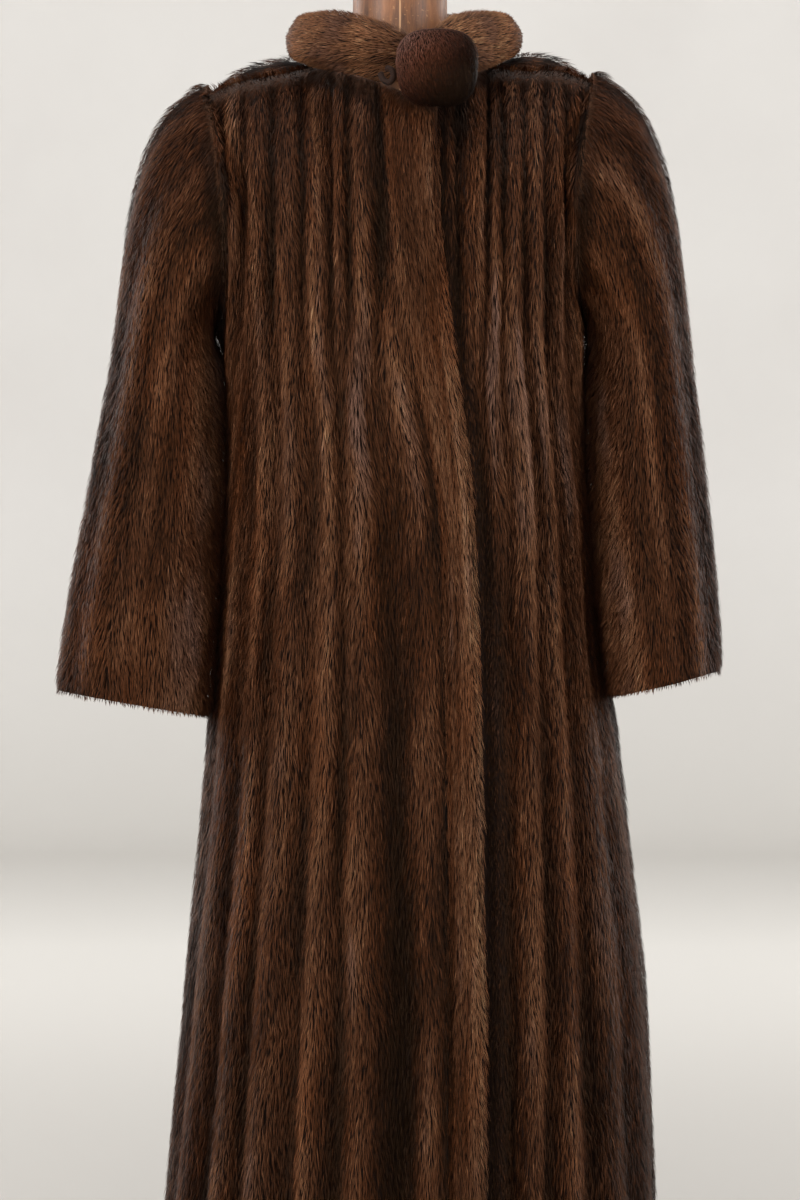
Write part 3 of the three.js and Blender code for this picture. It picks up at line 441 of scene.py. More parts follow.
def panel_skin(lines, per_line, seed, is_back=False, right_front=False, under=False, grooves=None):
    """Outer reach of a panel as a grid: points, normals, station k and t of each, and how far a
    point stands on a ridge (1) or in a groove (-1) of the pelts."""
    last = len(lines["top"]) - 1
    k = np.linspace(0, last, last * per_line + 1)
    t = np.linspace(0, 1, ROWS)
    points, tops, sides, tabs = [], [], [], []
    for value in k:
        line = {key: float(track(lines, key, value, "k")) for key in lines if key != "k"}
        line["top"] = max(line["top"], 0.0)
        p, top = line_points(line, t, is_back, right_front)
        points.append(p)
        tops.append(top)
        tabs.append(line)
        sides.append(-1 if math.sin(math.radians(line["bust"])) < 0 else 1)
    p = np.array(points)
    n = facing_out(p)
    for i, line in enumerate(tabs):
        w = ease(t, 0.965, 1)[:, None]
        n[i] = unit(n[i] * (1 - w) + rim_normal(line["top"], sides[i], tops[i], is_back) * w)
    for end, at in ((0, 0), (-1, last)):
        if abs(abs(math.sin(math.radians(lines["bust"][end]))) - math.sin(math.radians(95))) < 1e-6:
            w = np.clip(1 - np.abs(k - at), 0, 1)[:, None, None]
            n = unit(n * (1 - w) + np.array([sides[end], 0, 0]) * w)
            p[end][:, 1] += 0.15 if is_back else -0.15
    near_top = np.linalg.norm(p - np.array(tops)[:, None], axis=2)
    column = {key: np.array([line[key] for line in tabs])[:, None] for key in tabs[0]}
    pattern = np.clip(column["flute"] / 3.2, -1, 1) * np.ones_like(near_top)
    if grooves:
        spot = np.interp(p[..., 0], grooves, np.arange(len(grooves)))
        pattern = mix(pattern, 1 - 2 * np.abs(np.cos(math.pi * spot)) ** 3, ease(p[..., 2], 1030, 1190))
    flute = 4.6 * pattern * ease(near_top, 2, 40) * mix(0.15, 1, ease(t, 0.4, 0.85))
    flute = flute * (1 - 0.8 * ease(p[..., 2], 1355, 1385) * is_back)
    fold = column["fold"] * (1 - ease(t, 0.02, 0.85)) ** 0.7
    tuck = 0
    if under:
        past = p[..., 0] - track(EDGE, "x", np.minimum(p[..., 2], 1356))
        tuck = (-12.5 * (1 - ease(past, 6, 52))
                - mix(16, 7, ease(p[..., 2], 150, 900)) * ease(-past, 0, 90))
        flute = flute * ease(past, 4, 28)
    for i, line in enumerate(tabs):
        if 1 <= line["top"] <= 2:
            p[i, -1] += np.array([0, 0.9, 0.42]) * (0.15 if is_back else -0.15)
    inner_part = np.minimum(1, np.minimum(k, last - k))[:, None] * ease(near_top, 5, 60)
    ripple = 1.3 * waves(k[:, None] * 0.22, p[..., 2] / 300, seed) * inner_part
    beside = ease(np.abs(n[..., 0]), 0.5, 0.85) * ease(p[..., 2], 690, 730)
    return {"p": p + n * (fold + flute + tuck + ripple)[..., None], "n": n, "k": k, "t": t,
            "ridge": pattern, "near_top": near_top, "fold": fold + 0 * pattern, "beside": beside,
            "top": column["top"] + 0 * pattern, "depth": pile_depth(near_top, beside)}


def pelt_shell(name, skin, ring=False):
    """A closed thin pelt under the pile of a skin, which thins out towards a seam."""
    every = [slice(None, None, 2)] * 2
    if skin["p"].shape[0] % 2 == 0 and not ring:
        every[0] = slice(None)
    p, n, depth = (skin[key][tuple(every)] for key in ("p", "n", "depth"))
    outer, inner = p - n * depth, p - n * (depth + PELT)
    columns, rows = outer.shape[:2]
    points = np.concatenate([outer.reshape(-1, 3), inner.reshape(-1, 3)])
    size = columns * rows
    faces = list(grid_faces(columns, rows, ring)) + list(grid_faces(columns, rows, ring, size, True))
    for j in (0, rows - 1):
        for i in range(columns if ring else columns - 1):
            a, b = i * rows + j, (i + 1) % columns * rows + j
            faces.append((a, a + size, b + size, b) if j == 0 else (a, b, b + size, a + size))
    if not ring:
        for i in (0, columns - 1):
            for j in range(rows - 1):
                a, b = i * rows + j, i * rows + j + 1
                faces.append((a, b, b + size, a + size) if i == 0 else (a, a + size, b + size, b))
    made = mesh_object(name, points, outward(points, faces))
    parting = 1 - ease(skin["near_top"][tuple(every)].reshape(-1), 1, 11)
    made.data.attributes.new("parting", "FLOAT", "POINT").data.foreach_set("value", np.tile(parting, 2))
    return made


def combed(skin, seed, fan=0.17, over_edge=False, crest=False):
    """Flow of the guard hair over a skin: down its lines, fanning from each ridge to the grooves,
    and leaning out over its first edge where asked."""
    p, n, k = skin["p"], skin["n"], skin["k"][:, None]
    cloth = -unit(np.gradient(p, axis=1))
    across = unit(np.gradient(p, axis=0))
    z = p[..., 2]
    hang = np.array([0, 0, -1]) + n * n[..., 2:]
    yoke = ease(z, 1060, 1180) * (1 - 0.6 * ease(z, 1360, 1385))
    down = unit(cloth + unit(hang) * ((0.9 + 0.9 * ease(np.abs(p[..., 0]), 140, 175)) * yoke)[..., None])
    slope = np.gradient(skin["ridge"], axis=0)
    slant = -fan * slope / (np.abs(slope).max() + 1e-9) + 0.14 * waves(k * 0.35, z / 260, seed + 1)
    flow = down + across * slant[..., None]
    out = n.copy()
    seam = (1 - ease(skin["near_top"], 1, 8))[..., None]
    flow += (n * 0.2 - cloth * 0.5) * seam
    at_shoulder = ease(skin["top"], 1, 1.1) * (1 - ease(skin["top"], 1.95, 2.05))
    flow += n * (0.5 * ((1 - ease(skin["near_top"], 2, 15)) * at_shoulder))[..., None]
    out *= 1 + 1.4 * skin["beside"][..., None]
    if crest:
        w = ((1 - ease(skin["near_top"], 30, 70)) * ease(z, 1366, 1384))[..., None]
        aside = np.sign(p[..., :1]) * (np.array([1.0, 0, 0]) - n * n[..., :1])
        aside = unit(aside) - np.array([0, 0, 0.8]) * ease(np.abs(p[..., :1]), 160, 200)
        forward = mix(0.1, 0.6, 1 - ease(skin["near_top"], 12, 45))[..., None]
        flow = mix(flow, unit(aside) * 0.8 - cloth * forward, w)
    if over_edge:
        steps = np.linalg.norm(np.diff(p, axis=0), axis=2)
        w = (1 - ease(np.concatenate([[0 * p[0, :, 0]], np.cumsum(steps, axis=0)]), 1, 13))[..., None]
        out -= across * w * 0.9
        flow -= across * w * 0.1
    return unit(flow), unit(out)


def plaits(skin, seed, ridge_gain=0.15, level=0.46, patches=()):
    """Tone (0 dark, 1 light) and warmth (0 mauve, 1 red-brown) of the pile over a skin: the fur's own colour
    with painted light and shade on it, its mauve partly a painted sheen.
    """
    p, k, z = skin["p"], skin["k"][:, None], skin["p"][..., 2]
    pelt = np.interp(k, np.arange(64), np.random.default_rng(seed).uniform(-1, 1, 64))
    yoke = ease(z, 1080, 1230)
    # Painted light and shade: ridges and fold crests lighter; the yoke, its grooves and the fold valleys
    # darker, the grooves partly by the underfur's own dark colour. Darker towards the hem.
    tone = (level + ridge_gain * skin["ridge"] * mix(0.12, 0.85, ease(z, 850, 1250)) + 0.05 * pelt
            + 0.05 * waves(k * 1.6, z / 600, seed + 7, 4) - 0.07 * (1 - ease(z, 300, 620))
            - yoke * (0.085 + 0.25 * np.maximum(0, -skin["ridge"] - 0.35))
            + np.clip(0.015 * skin["fold"] + 0.012 * np.minimum(skin["fold"], 0), -0.34, 0.12)
            + 0.085 * waves(k * 0.5, z / 380, seed + 2))
    near, q = skin["near_top"], skin["top"]
    # Painted shadow under the collar along the neckline, and painted shade in the crease of the armhole
    # seam.
    tone -= 0.34 * (1 - ease(near, 5, 26)) * ease(q, 0.33, 0.42) * (1 - ease(q, 0.98, 1.1))
    tone -= 0.26 * (1 - ease(near, 3, 16)) * ease(q, 2.05, 2.3)
    shoulder = (1 - ease(near, 2, 10)) * ease(q, 1, 1.1) * (1 - ease(q, 1.95, 2.05))
    tone += 0.13 * shoulder
    # The warmth falls towards mauve where the tone is light: painted sheen.
    warm = (0.56 + 0.1 * pelt + 0.24 * waves(k * 0.3, z / 300, seed + 3) - 0.9 * (tone - level)
            + 0.3 * shoulder)
    for x, height, wide, high, lift, hue in patches:
        w = np.exp(-((p[..., 0] - x) / wide) ** 2 - ((z - height) / high) ** 2)
        tone, warm = tone + lift * w, warm + hue * w
    return tone, np.maximum(warm, 0.5 * (1 - ease(tone, 0.42, 0.62)))


def pile_tree():
    """Geometry Nodes: guard hairs scattered over a skin, laid along its flow."""
    tree = bpy.data.node_groups.new("guard_hair", "GeometryNodeTree")
    sockets = {}
    for name, kind in (("Skin", "Geometry"), ("Hair", "Object"), ("Density", "Float"), ("Length", "Float"),
                       ("Width", "Float"), ("Lift", "Float"), ("Wisp size", "Float"), ("Wisp lean", "Float"),
                       ("Seed", "Int"), ("Fur", "Material")):
        sockets[name] = tree.interface.new_socket(name=name, in_out="INPUT", socket_type="NodeSocket" + kind)
    tree.interface.new_socket(name="Pile", in_out="OUTPUT", socket_type="NodeSocketGeometry")
    given = node(tree, "NodeGroupInput").outputs

    def attribute(name, kind="FLOAT"):
        return node(tree, "GeometryNodeInputNamedAttribute", {"data_type": kind}, Name=name).outputs[0]

    def random(low, high, extra):
        made = node(tree, "FunctionNodeRandomValue", {"data_type": "FLOAT"}, in2=low, in3=high)
        seed = node(tree, "ShaderNodeMath", {"operation": "ADD"}, in0=given["Seed"], in1=float(extra))
        tree.links.new(seed.outputs[0], made.inputs["Seed"])
        return made.outputs[1]

    def vector(operation, a, b=None, scale=None):
        made = node(tree, "ShaderNodeVectorMath", {"operation": operation}, in0=a)
        if b is not None:
            tree.links.new(b, made.inputs[1])
        if scale is not None:
            tree.links.new(scale, made.inputs["Scale"])
        return made.outputs[0]

    def number(operation, a, b):
        return node(tree, "ShaderNodeMath", {"operation": operation}, in0=a, in1=b).outputs[0]

    cover = number("MULTIPLY", given["Density"], attribute("cover"))
    scatter = node(tree, "GeometryNodeDistributePointsOnFaces", Mesh=given["Skin"])
    tree.links.new(cover, scatter.inputs["Density"])
    tree.links.new(given["Seed"], scatter.inputs["Seed"])
    flow, out = attribute("flow", "FLOAT_VECTOR"), attribute("out", "FLOAT_VECTOR")
    across = vector("CROSS_PRODUCT", out, flow)
    spot = node(tree, "GeometryNodeInputPosition").outputs[0]
    stretch = node(tree, "ShaderNodeVectorMath", {"operation": "MULTIPLY"}, in0=spot, in1=(1, 1, 0.45))
    wisps = node(tree, "ShaderNodeTexNoise", Vector=stretch.outputs[0], Detail=1.0)
    tree.links.new(number("DIVIDE", 1.0, given["Wisp size"]), wisps.inputs["Scale"])
    wander = number("MULTIPLY", number("SUBTRACT", wisps.outputs["Fac"], 0.5), 2.6)
    sway = number("ADD", number("MULTIPLY", wander, given["Wisp lean"]), random(-0.13, 0.13, 11))
    lift = number("MULTIPLY", given["Lift"], random(0.45, 1.5, 12))
    way = vector("ADD", vector("ADD", flow, vector("SCALE", across, scale=sway)),
                 vector("SCALE", out, scale=lift))
    roll = vector("ADD", across, vector("SCALE", out, scale=random(-0.4, 0.4, 13)))
    turn_hair = node(tree, "FunctionNodeAxesToRotation", {"primary_axis": "Z", "secondary_axis": "X"})
    tree.links.new(way, turn_hair.inputs[0])
    tree.links.new(roll, turn_hair.inputs[1])
    size = node(tree, "ShaderNodeCombineXYZ")
    tree.links.new(number("MULTIPLY", given["Width"], random(0.7, 1.35, 14)), size.inputs["X"])
    long = number("MULTIPLY", number("MULTIPLY", given["Length"], attribute("reach")), random(0.7, 1.2, 15))
    tree.links.new(long, size.inputs["Y"])
    tree.links.new(long, size.inputs["Z"])
    # Each hair's tone varies a little at random, and a few hairs are made much paler as painted glints.
    tone = number("ADD", attribute("tone"), number("ADD", random(-0.08, 0.08, 16),
                  number("MULTIPLY", number("POWER", random(0, 1, 17), 9.0), 0.18)))
    stored = scatter.outputs["Points"]
    for name, value in (("hair_tone", tone), ("hair_warm", attribute("warm")),
                        ("hair_seam", attribute("seam"))):
        stored = node(tree, "GeometryNodeStoreNamedAttribute", {"data_type": "FLOAT", "domain": "POINT"},
                      Geometry=stored, Name=name, Value=value).outputs[0]
    hair = node(tree, "GeometryNodeObjectInfo", Object=given["Hair"])
    placed = node(tree, "GeometryNodeInstanceOnPoints", Points=stored, Instance=hair.outputs["Geometry"],
                  Rotation=turn_hair.outputs[0], Scale=size.outputs[0])
    real = node(tree, "GeometryNodeRealizeInstances", Geometry=placed.outputs[0])
    dressed = node(tree, "GeometryNodeSetMaterial", Geometry=real.outputs[0], Material=given["Fur"])
    node(tree, "NodeGroupOutput", Pile=dressed.outputs[0])
    return tree, {name: socket.identifier for name, socket in sockets.items()}


HAIR_TREE, HAIR_INPUT = pile_tree()
WISP = 0.009        # metres across a lock of hairs that lean the same way
# One guard hair: narrow at the root, widest at its middle, bent there towards the pelt.
guard_hair = mesh_object("one_hair", [(0, 0, 0), (500, 90, 480), (-500, 90, 480), (0, 0, 1000)],
                         [(0, 1, 2), (1, 3, 2)])
guard_hair.data.attributes.new("from_root", "FLOAT", "POINT").data.foreach_set("value", [0, 0.5, 0.5, 1])
guard_hair.hide_render = True


def grow_pile(name, skin, fur, flow, out, tone, warm, density, length=16, width=0.85, lift=0.24,
              lean=0.13, seed=1, cover=1.0, reach=1.0, ring=False):
    """The guard hair of one skin as a mesh of its own; lengths in mm, density in hairs per cm2."""
    points = (skin["p"] - skin["n"] * skin.get("depth", 0)).reshape(-1, 3)
    columns, rows = skin["p"].shape[:2]
    bed = mesh_object(name + "_bed", points, grid_faces(columns, rows, ring))
    size = columns * rows
    for key, value in (("flow", flow), ("out", out)):
        made = bed.data.attributes.new(key, "FLOAT_VECTOR", "POINT")
        made.data.foreach_set("vector", np.asarray(value, float).reshape(-1))
    seam = 1 - ease(skin["near_top"], 2, 15) if "near_top" in skin else 0
    for key, value in (("tone", tone), ("warm", warm), ("cover", cover), ("reach", reach), ("seam", seam)):
        made = bed.data.attributes.new(key, "FLOAT", "POINT")
        made.data.foreach_set("value", (np.zeros((columns, rows)) + value).reshape(-1))
    grow = bed.modifiers.new("guard_hair", "NODES")
    grow.node_group = HAIR_TREE
    for key, value in (("Hair", guard_hair), ("Density", density * 1e4), ("Length", length * 0.001),
                       ("Width", width * 0.001), ("Lift", lift), ("Wisp size", WISP), ("Wisp lean", lean),
                       ("Seed", seed), ("Fur", fur)):
        grow[HAIR_INPUT[key]] = value
    graph = bpy.context.evaluated_depsgraph_get()
    mesh = bpy.data.meshes.new_from_object(bed.evaluated_get(graph), preserve_all_data_layers=True,
                                           depsgraph=graph)
    mesh.name = name
    bpy.data.objects.remove(bed)
    made = bpy.data.objects.new(name, mesh)
    bpy.context.scene.collection.objects.link(made)
    print(name, len(mesh.polygons), "triangles")
    return made


def fur_material(name, dark, deep, middle, light, pale, red, mauve):
    """Guard hair: colour from each hair's tone and warmth, which hold painted light and shade beside the
    fur's own colour, darker at its root except at a seam.
    """
    made, tree, shader = material(name, {
        "Roughness": 0.52, "IOR": 1.55, "Specular IOR Level": 0.14, "Specular Tint": linear("#d2a078"),
        "Sheen Weight": 0.015, "Sheen Roughness": 0.35, "Sheen Tint": linear("#9c8a8a")})
    tone = node(tree, "ShaderNodeAttribute", {"attribute_name": "hair_tone"})
    ramp = node(tree, "ShaderNodeValToRGB", Fac=tone.outputs["Fac"])
    ramp.color_ramp.elements[0].position, ramp.color_ramp.elements[0].color = 0.08, linear(dark)
    ramp.color_ramp.elements[1].position, ramp.color_ramp.elements[1].color = 0.95, linear(pale)
    for spot, colour in ((0.3, deep), (0.5, middle), (0.72, light)):
        ramp.color_ramp.elements.new(spot).color = linear(colour)
    warmth = node(tree, "ShaderNodeAttribute", {"attribute_name": "hair_warm"})
    toward_red = node(tree, "ShaderNodeMapRange", Value=warmth.outputs["Fac"], From_Min=0.5, From_Max=1.0,
                      To_Max=0.75)
    toward_mauve = node(tree, "ShaderNodeMapRange", Value=warmth.outputs["Fac"], From_Min=0.4, From_Max=0.0,
                        To_Max=0.75)
    reds = node(tree, "ShaderNodeMix", {"data_type": "RGBA", "blend_type": "COLOR"},
                Factor=toward_red.outputs[0], in6=ramp.outputs[0], in7=linear(red))
    both = node(tree, "ShaderNodeMix", {"data_type": "RGBA", "blend_type": "COLOR"},
                Factor=toward_mauve.outputs[0], in6=reds.outputs[2], in7=linear(mauve))
    root = node(tree, "ShaderNodeAttribute", {"attribute_name": "from_root"})
    seam = node(tree, "ShaderNodeAttribute", {"attribute_name": "hair_seam"})
    at_root = node(tree, "ShaderNodeMapRange", Value=seam.outputs["Fac"], To_Min=0.22, To_Max=0.95)
    depth = node(tree, "ShaderNodeMapRange", Value=root.outputs["Fac"], From_Max=0.75,
                 To_Min=at_root.outputs[0])
    shaded = node(tree, "ShaderNodeMix", {"data_type": "RGBA", "blend_type": "MULTIPLY"}, Factor=1.0,
                  in6=both.outputs[2])
    tree.links.new(depth.outputs[0], shaded.inputs[7])
    tree.links.new(shaded.outputs[2], shader.inputs["Base Color"])
    return made


# Mink guard hair, natural and unsheared: glossy, dark brown, redder in places and with a mauve
# bloom where it catches the light.
mink = fur_material("mink_guard_hair", "#060201", "#1d0d06", "#402415", "#694731", "#967556",
                    "#6c3718", "#6f544a")

# Underfur on a dressed pelt: short, dense and matt, almost black between the guard hairs, and tan
# where the hair parts at a seam.
underfur, tree, shader = material("mink_underfur_on_pelt", {
    "Roughness": 0.9, "Specular IOR Level": 0.1, "Sheen Weight": 0.04, "Sheen Roughness": 0.5})
place = node(tree, "ShaderNodeTexCoord")
drawn = node(tree, "ShaderNodeMapping", Vector=place.outputs["Object"], Scale=(520, 520, 60))
fuzz = node(tree, "ShaderNodeTexNoise", Vector=drawn.outputs[0], Scale=1.0, Detail=5.0)
under = node(tree, "ShaderNodeMix", {"data_type": "RGBA"}, Factor=fuzz.outputs["Fac"],
             in6=linear("#070301"), in7=linear("#1f0f07"))
parting = node(tree, "ShaderNodeAttribute", {"attribute_name": "parting"})
parted = node(tree, "ShaderNodeMix", {"data_type": "RGBA"}, Factor=parting.outputs["Fac"],
              in6=under.outputs[2], in7=linear("#4a2f1e"))
tree.links.new(parted.outputs[2], shader.inputs["Base Color"])
nap = node(tree, "ShaderNodeBump", Height=fuzz.outputs["Fac"], Strength=0.6, Distance=0.0015)
tree.links.new(nap.outputs[0], shader.inputs["Normal"])

RIGHT_LINES = [
    (0.33, 4, 15, 13.6, -6, -2.5), (0.52, -4, 7.4, 8.1, 6, 3), (0.68, -12, -4, 1.1, -15, -4),
    (0.85, -19, -15, -11.5, 9, 3), (1, -25, -21, -18.3, -5, -4), (1.18, -30, -26, -27.6, 8, 3),
    (1.36, -35, -32, -32.4, -5, -4.5), (1.53, -40, -40, -42.9, 8, 3.5), (1.69, -44.5, -46, -49, -6, -4),
    (1.85, -49, -51, -55, 5, 3), (2, -53.5, -57, -62, -5, -2), (2.4, -58.5, -63, -69, 6, 0),
    (2.8, -64, -70, -76, -2, 0), (3.2, -71, -77, -82, 3, 0), (3.6, -82, -86, -88, 0, 0),
    (4, -95, -95, -95, 0, 0)]
BORDER_LINES = [(0.33, 4, 15, 13.6, -6, -2.5), (0.22, 9, 19, 16.5, 1, 1.5), (0.11, 14.5, 23, 20, 5, 2.5),
                (0, 20, 27, 23.3, 2, 0)]
whole_front = table("top bust mid hem fold flute", BORDER_LINES[:0:-1] + RIGHT_LINES)
front_skin = panel_skin(whole_front, 6, 5, right_front=True, grooves=[
    -202, -183, -163, -134, -102, -70, -55, -23, 42])


def part_of(skin, low, high, shift=0.0):
    """The columns of a skin between two stations, its seam edge shifted by a hair's breadth."""
    keep = (skin["k"] >= low - 1e-6) & (skin["k"] <= high + 1e-6)
    cut = {key: value[keep] if key != "t" else value for key, value in skin.items()}
    cut["p"] = cut["p"].copy()
    cut["p"][0 if low > 0 else -1, :, 0] += shift
    return cut


right_skin = part_of(front_skin, 3, 18, -0.15)
right_pelt = pelt_shell("right_front_pelt", right_skin)
right_pelt.data.materials.append(underfur)
flow, out = combed(front_skin, 11)


def thin(skin):
    """Share of the full length of the hair: less beside a sleeve and at the hem."""
    under_arm = np.exp(-((skin["p"][..., 2] - 1110) / 45) ** 2)
    shoulder = (1 - ease(skin["near_top"], 3, 18)) * ease(skin["p"][..., 2], 1372, 1388)
    return ((1 - 0.28 * skin["beside"] * (1 - under_arm)) * mix(0.45, 1, ease(skin["t"], 0, 0.02))
            * (1 - 0.35 * shoulder))


def crowded(skin):
    """Share of the density of the hair: more along the upper seams and beside a sleeve."""
    return 1 + 1.2 * (1 - ease(skin["near_top"], 2, 10)) + 0.9 * skin["beside"]


# Patches: a pale mauve one is painted sheen; two darker, redder ones lower down.
tone, warm = plaits(front_skin, 21, patches=[
    (-50, 1060, 45, 130, 0.06, -0.35), (20, 620, 60, 330, -0.09, 0.05), (-150, 720, 45, 200, -0.03, 0.15)])
cut = front_skin["k"] >= 3 - 1e-6
right_pile = grow_pile("right_front_pile", right_skin, mink, flow[cut], out[cut], tone[cut], warm[cut],
                       16.5, length=18, width=0.92, seed=31, reach=thin(right_skin),
                       cover=crowded(right_skin))
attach(right_pelt, "root")
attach(right_pile, "root")
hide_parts("coat_front_right")

# Border: the paler strip of pelts down the edge of the right front, which laps over the left. Its
# hair leans out over the edge.
border_skin = part_of(front_skin, 0, 3, 0.15)
border_pelt = pelt_shell("border_pelt", border_skin)
border_pelt.data.materials.append(underfur)
flow, out = combed(border_skin, 12, fan=0.1, over_edge=True)
# Painted shadow: the dark patch at the foot of the button. Painted highlight: the strip lighter towards its
# outer edge.
tone, warm = plaits(border_skin, 22, ridge_gain=0.02, level=0.56, patches=[(44, 1352, 16, 18, -0.22, 0.1)])
tone += 0.15 * (1 - ease(border_skin["k"][:, None], 0.3, 1.4))
border_pile = grow_pile("border_pile", border_skin, mink, flow, out, tone, warm, 30, width=0.75, seed=32,
                        reach=thin(border_skin), cover=crowded(border_skin))
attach(border_pelt, "root")
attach(border_pile, "root")
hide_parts("front_border")

# Left front: its edge lies tucked in under the border, so that strip of it has no light on it.
left_lines = table("top bust mid hem fold flute", [
    (0, 3, 7, 7, 0, 0), (0.26, 12, 14, 12.5, 0, 0), (0.4, 18, 20, 16, 0, 3), (0.55, 22, 24, 19.5, 0, -4),
    (0.7, 26, 28, 22.5, 1, 3), (0.85, 30, 32, 25.5, -4, -4), (1, 34, 36, 29, 4, 3),
    (1.18, 37.5, 41, 32, -3, -4), (1.36, 41.5, 46, 36, 8, 3.5), (1.53, 45.5, 50, 42, -7, -4),
    (1.69, 49, 54, 47.5, 8, 3), (1.85, 52.5, 58, 54, -5, -3.5), (2, 56, 63, 61, 7, 2),
    (2.4, 61, 69, 68, -3, 0), (2.8, 66, 75, 75, 4, 0), (3.2, 73, 81, 82, -1, 0),
    (3.6, 83, 88, 88, 1, 0), (4, 95, 95, 95, 0, 0)])
left_skin = panel_skin(left_lines, 6, 6, under=True, grooves=[
    20, 44, 62, 92, 106, 129, 151, 172, 189, 205])
left_pelt = pelt_shell("left_front_pelt", left_skin)
left_pelt.data.materials.append(underfur)
flow, out = combed(left_skin, 13)
# Patches: two pale mauve ones are painted sheen, the dark one at the foot of the button its painted shadow.
tone, warm = plaits(left_skin, 23, patches=[
    (140, 1030, 50, 110, 0.09, -0.4), (95, 1120, 30, 90, 0.05, -0.3), (62, 1352, 24, 26, -0.28, 0.15)])
past = left_skin["p"][..., 0] - track(EDGE, "x", np.minimum(left_skin["p"][..., 2], 1356))
# Painted shade along the strip that lies tucked under the border.
tone = tone - 0.24 * (1 - ease(past, 0, 12))
left_pile = grow_pile("left_front_pile", left_skin, mink, flow, out, tone, warm, 17, length=18, width=0.92,
                      seed=33, cover=mix(0.04, 1, ease(past, -20, -7)) * crowded(left_skin),
                      reach=thin(left_skin) * mix(0.5, 1, ease(past, -4, 10)))
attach(left_pelt, "root")
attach(left_pile, "root")
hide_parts("coat_front_left")

# Back: the same let-out strips, cut in one with the tops of the shoulders, which it wraps over to a
# seam set forward of the crest.
half = [(4, 95, 95, 0, 0, 0), (3.6, 106, 101, 3, 4, 0), (3.2, 114, 107, -4, -5, 0),
        (2.8, 120, 113, 7, 8, 0), (2.4, 125, 119, -6, -4, 0), (2, 129.5, 125, 8, 6, 2),
        (1.85, 134, 130.5, -8, -7, -3), (1.69, 138, 136, 9, 8, 3), (1.53, 142, 141, -7, -9, -4),
        (1.36, 146, 146, 9, 9, 3), (1.18, 150, 151, -9, -7, -4), (1, 154, 155.5, 8, 9, 3),
        (0.8, 159, 160, -8, -10, -4), (0.6, 164, 165, 9, 8, 3), (0.4, 169.5, 170, -9, -8, -4),
        (0.2, 175, 175, 8, 7, 3), (0, 180, 180, -6, -6, -3)]
rows = [(top, bust, hem, fold, flute) for top, bust, hem, fold, other, flute in half]
rows += [(top, 360 - bust, 360 - hem, other, flute) for top, bust, hem, fold, other, flute in half[-2::-1]]
back_lines = table("top bust hem fold flute", rows)
back_lines["mid"] = mix(back_lines["hem"], back_lines["bust"], 0.72)
back_skin = panel_skin(back_lines, 5, 7, is_back=True)
back_pelt = pelt_shell("back_pelt", back_skin)
back_pelt.data.materials.append(underfur)
flow, out = combed(back_skin, 14, crest=True)
tone, warm = plaits(back_skin, 24)
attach(back_pelt, "root")
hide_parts("coat_back")
for side, low, high in (("left", 0, 16), ("right", 16, 32)):
    cut = (back_skin["k"] >= low - 1e-6) & (back_skin["k"] <= high + 1e-6)
    half_skin = part_of(back_skin, low, high)
    pile = grow_pile(f"back_pile_{side}", half_skin, mink, flow[cut], out[cut], tone[cut], warm[cut], 11,
                     length=18, width=1.25, seed=34 + low, reach=thin(half_skin), cover=crowded(half_skin))
    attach(pile, "root")


# Sleeves: one pelt panel each, set into the armhole and closed by a seam under the arm; open at the
# cuff, where the hair hangs past the turned edge.
PELTS_ROUND = 20    # pelts round a sleeve


def sleeve_skin(rows, side, swing, columns=100, steps=81):
    """Outer reach of a sleeve as a grid, with what panel_skin tells of a panel; swing bends it."""
    s, t = np.arange(columns) / columns, np.linspace(0, 1, steps)

    def section(z, turn):
        outer, inner = track(rows, "outer", z), track(rows, "inner", z)
        ahead = -track(rows, "forward", z) - track(rows, "depth", z) / 2 * math.sin(turn)
        return np.stack([side * ((outer + inner) / 2 + (outer - inner) / 2 * math.cos(turn)), ahead, z],
                        axis=-1)

    high, low = rows["z"][-1], rows["z"][0]
    points = []
    for value in s:
        start = armhole(value * 2, False) if value <= 0.5 else armhole(2 - value * 2, True)
        start = settle(start * (side, 1, 1)) + (side * 0.3, 0, 0)
        turn = 2 * math.pi * value
        end = section(np.array([high]), turn)[0]
        chord, tilt = np.linalg.norm(start - end), 27 * math.cos(turn) / 2
        share = chord / (chord + high - low - tilt)
        go = unit(np.array([side, 0, -0.25 - 0.35 * (1 - math.cos(turn))])) * min(300, 0.9 * chord)
        down = unit(section(np.array([high - 5]), turn)[0] - end) * min(300, chord)
        lower = section(mix(high, low + tilt, np.clip((t - share) / (1 - share), 0, 1)), turn)
        upper = hermite(start, go, end, down, np.clip(t / share, 0, 1))
        points.append(np.where((t >= share)[:, None], lower, upper))
    p = np.array(points)
    wrapped = np.concatenate([p[-1:], p, p[:1]])
    n = unit(np.cross((wrapped[2:] - wrapped[:-2]), np.gradient(p, axis=1)))
    if np.sum(n[..., 0] * (p[..., 0] - p[..., 0].mean(axis=0))) < 0:
        n = -n
    w = (1 - ease(t, 0, 0.03))[None, :, None]
    rim = unit(p[:, :1] * (0, 1, 1) - (0, 4, 1250))
    n = unit(n * (1 - w) + rim * w)
    away = ease(np.abs(s - 0.5), 0.12, 0.3)[:, None]
    flute = (0.3 - 2.1 * np.cos(PELTS_ROUND * math.pi * s))[:, None] * ease(t, 0.02, 0.14) * away
    bend = swing * np.sin(4 * math.pi * s[:, None] + 2.2 * t) * ease(t, 0.25, 0.7) * away
    ridge = -np.cos(PELTS_ROUND * math.pi * s)[:, None] * np.ones_like(flute) * away
    near_top = np.linalg.norm(p - p[:, :1], axis=2)
    beside = ease(-side * n[..., 0], 0.3, 0.8)
    return {"p": p + n * (flute + bend)[..., None], "n": n, "k": s * PELTS_ROUND, "t": t, "ridge": ridge,
            "near_top": near_top, "beside": beside, "depth": pile_depth(near_top, beside)}


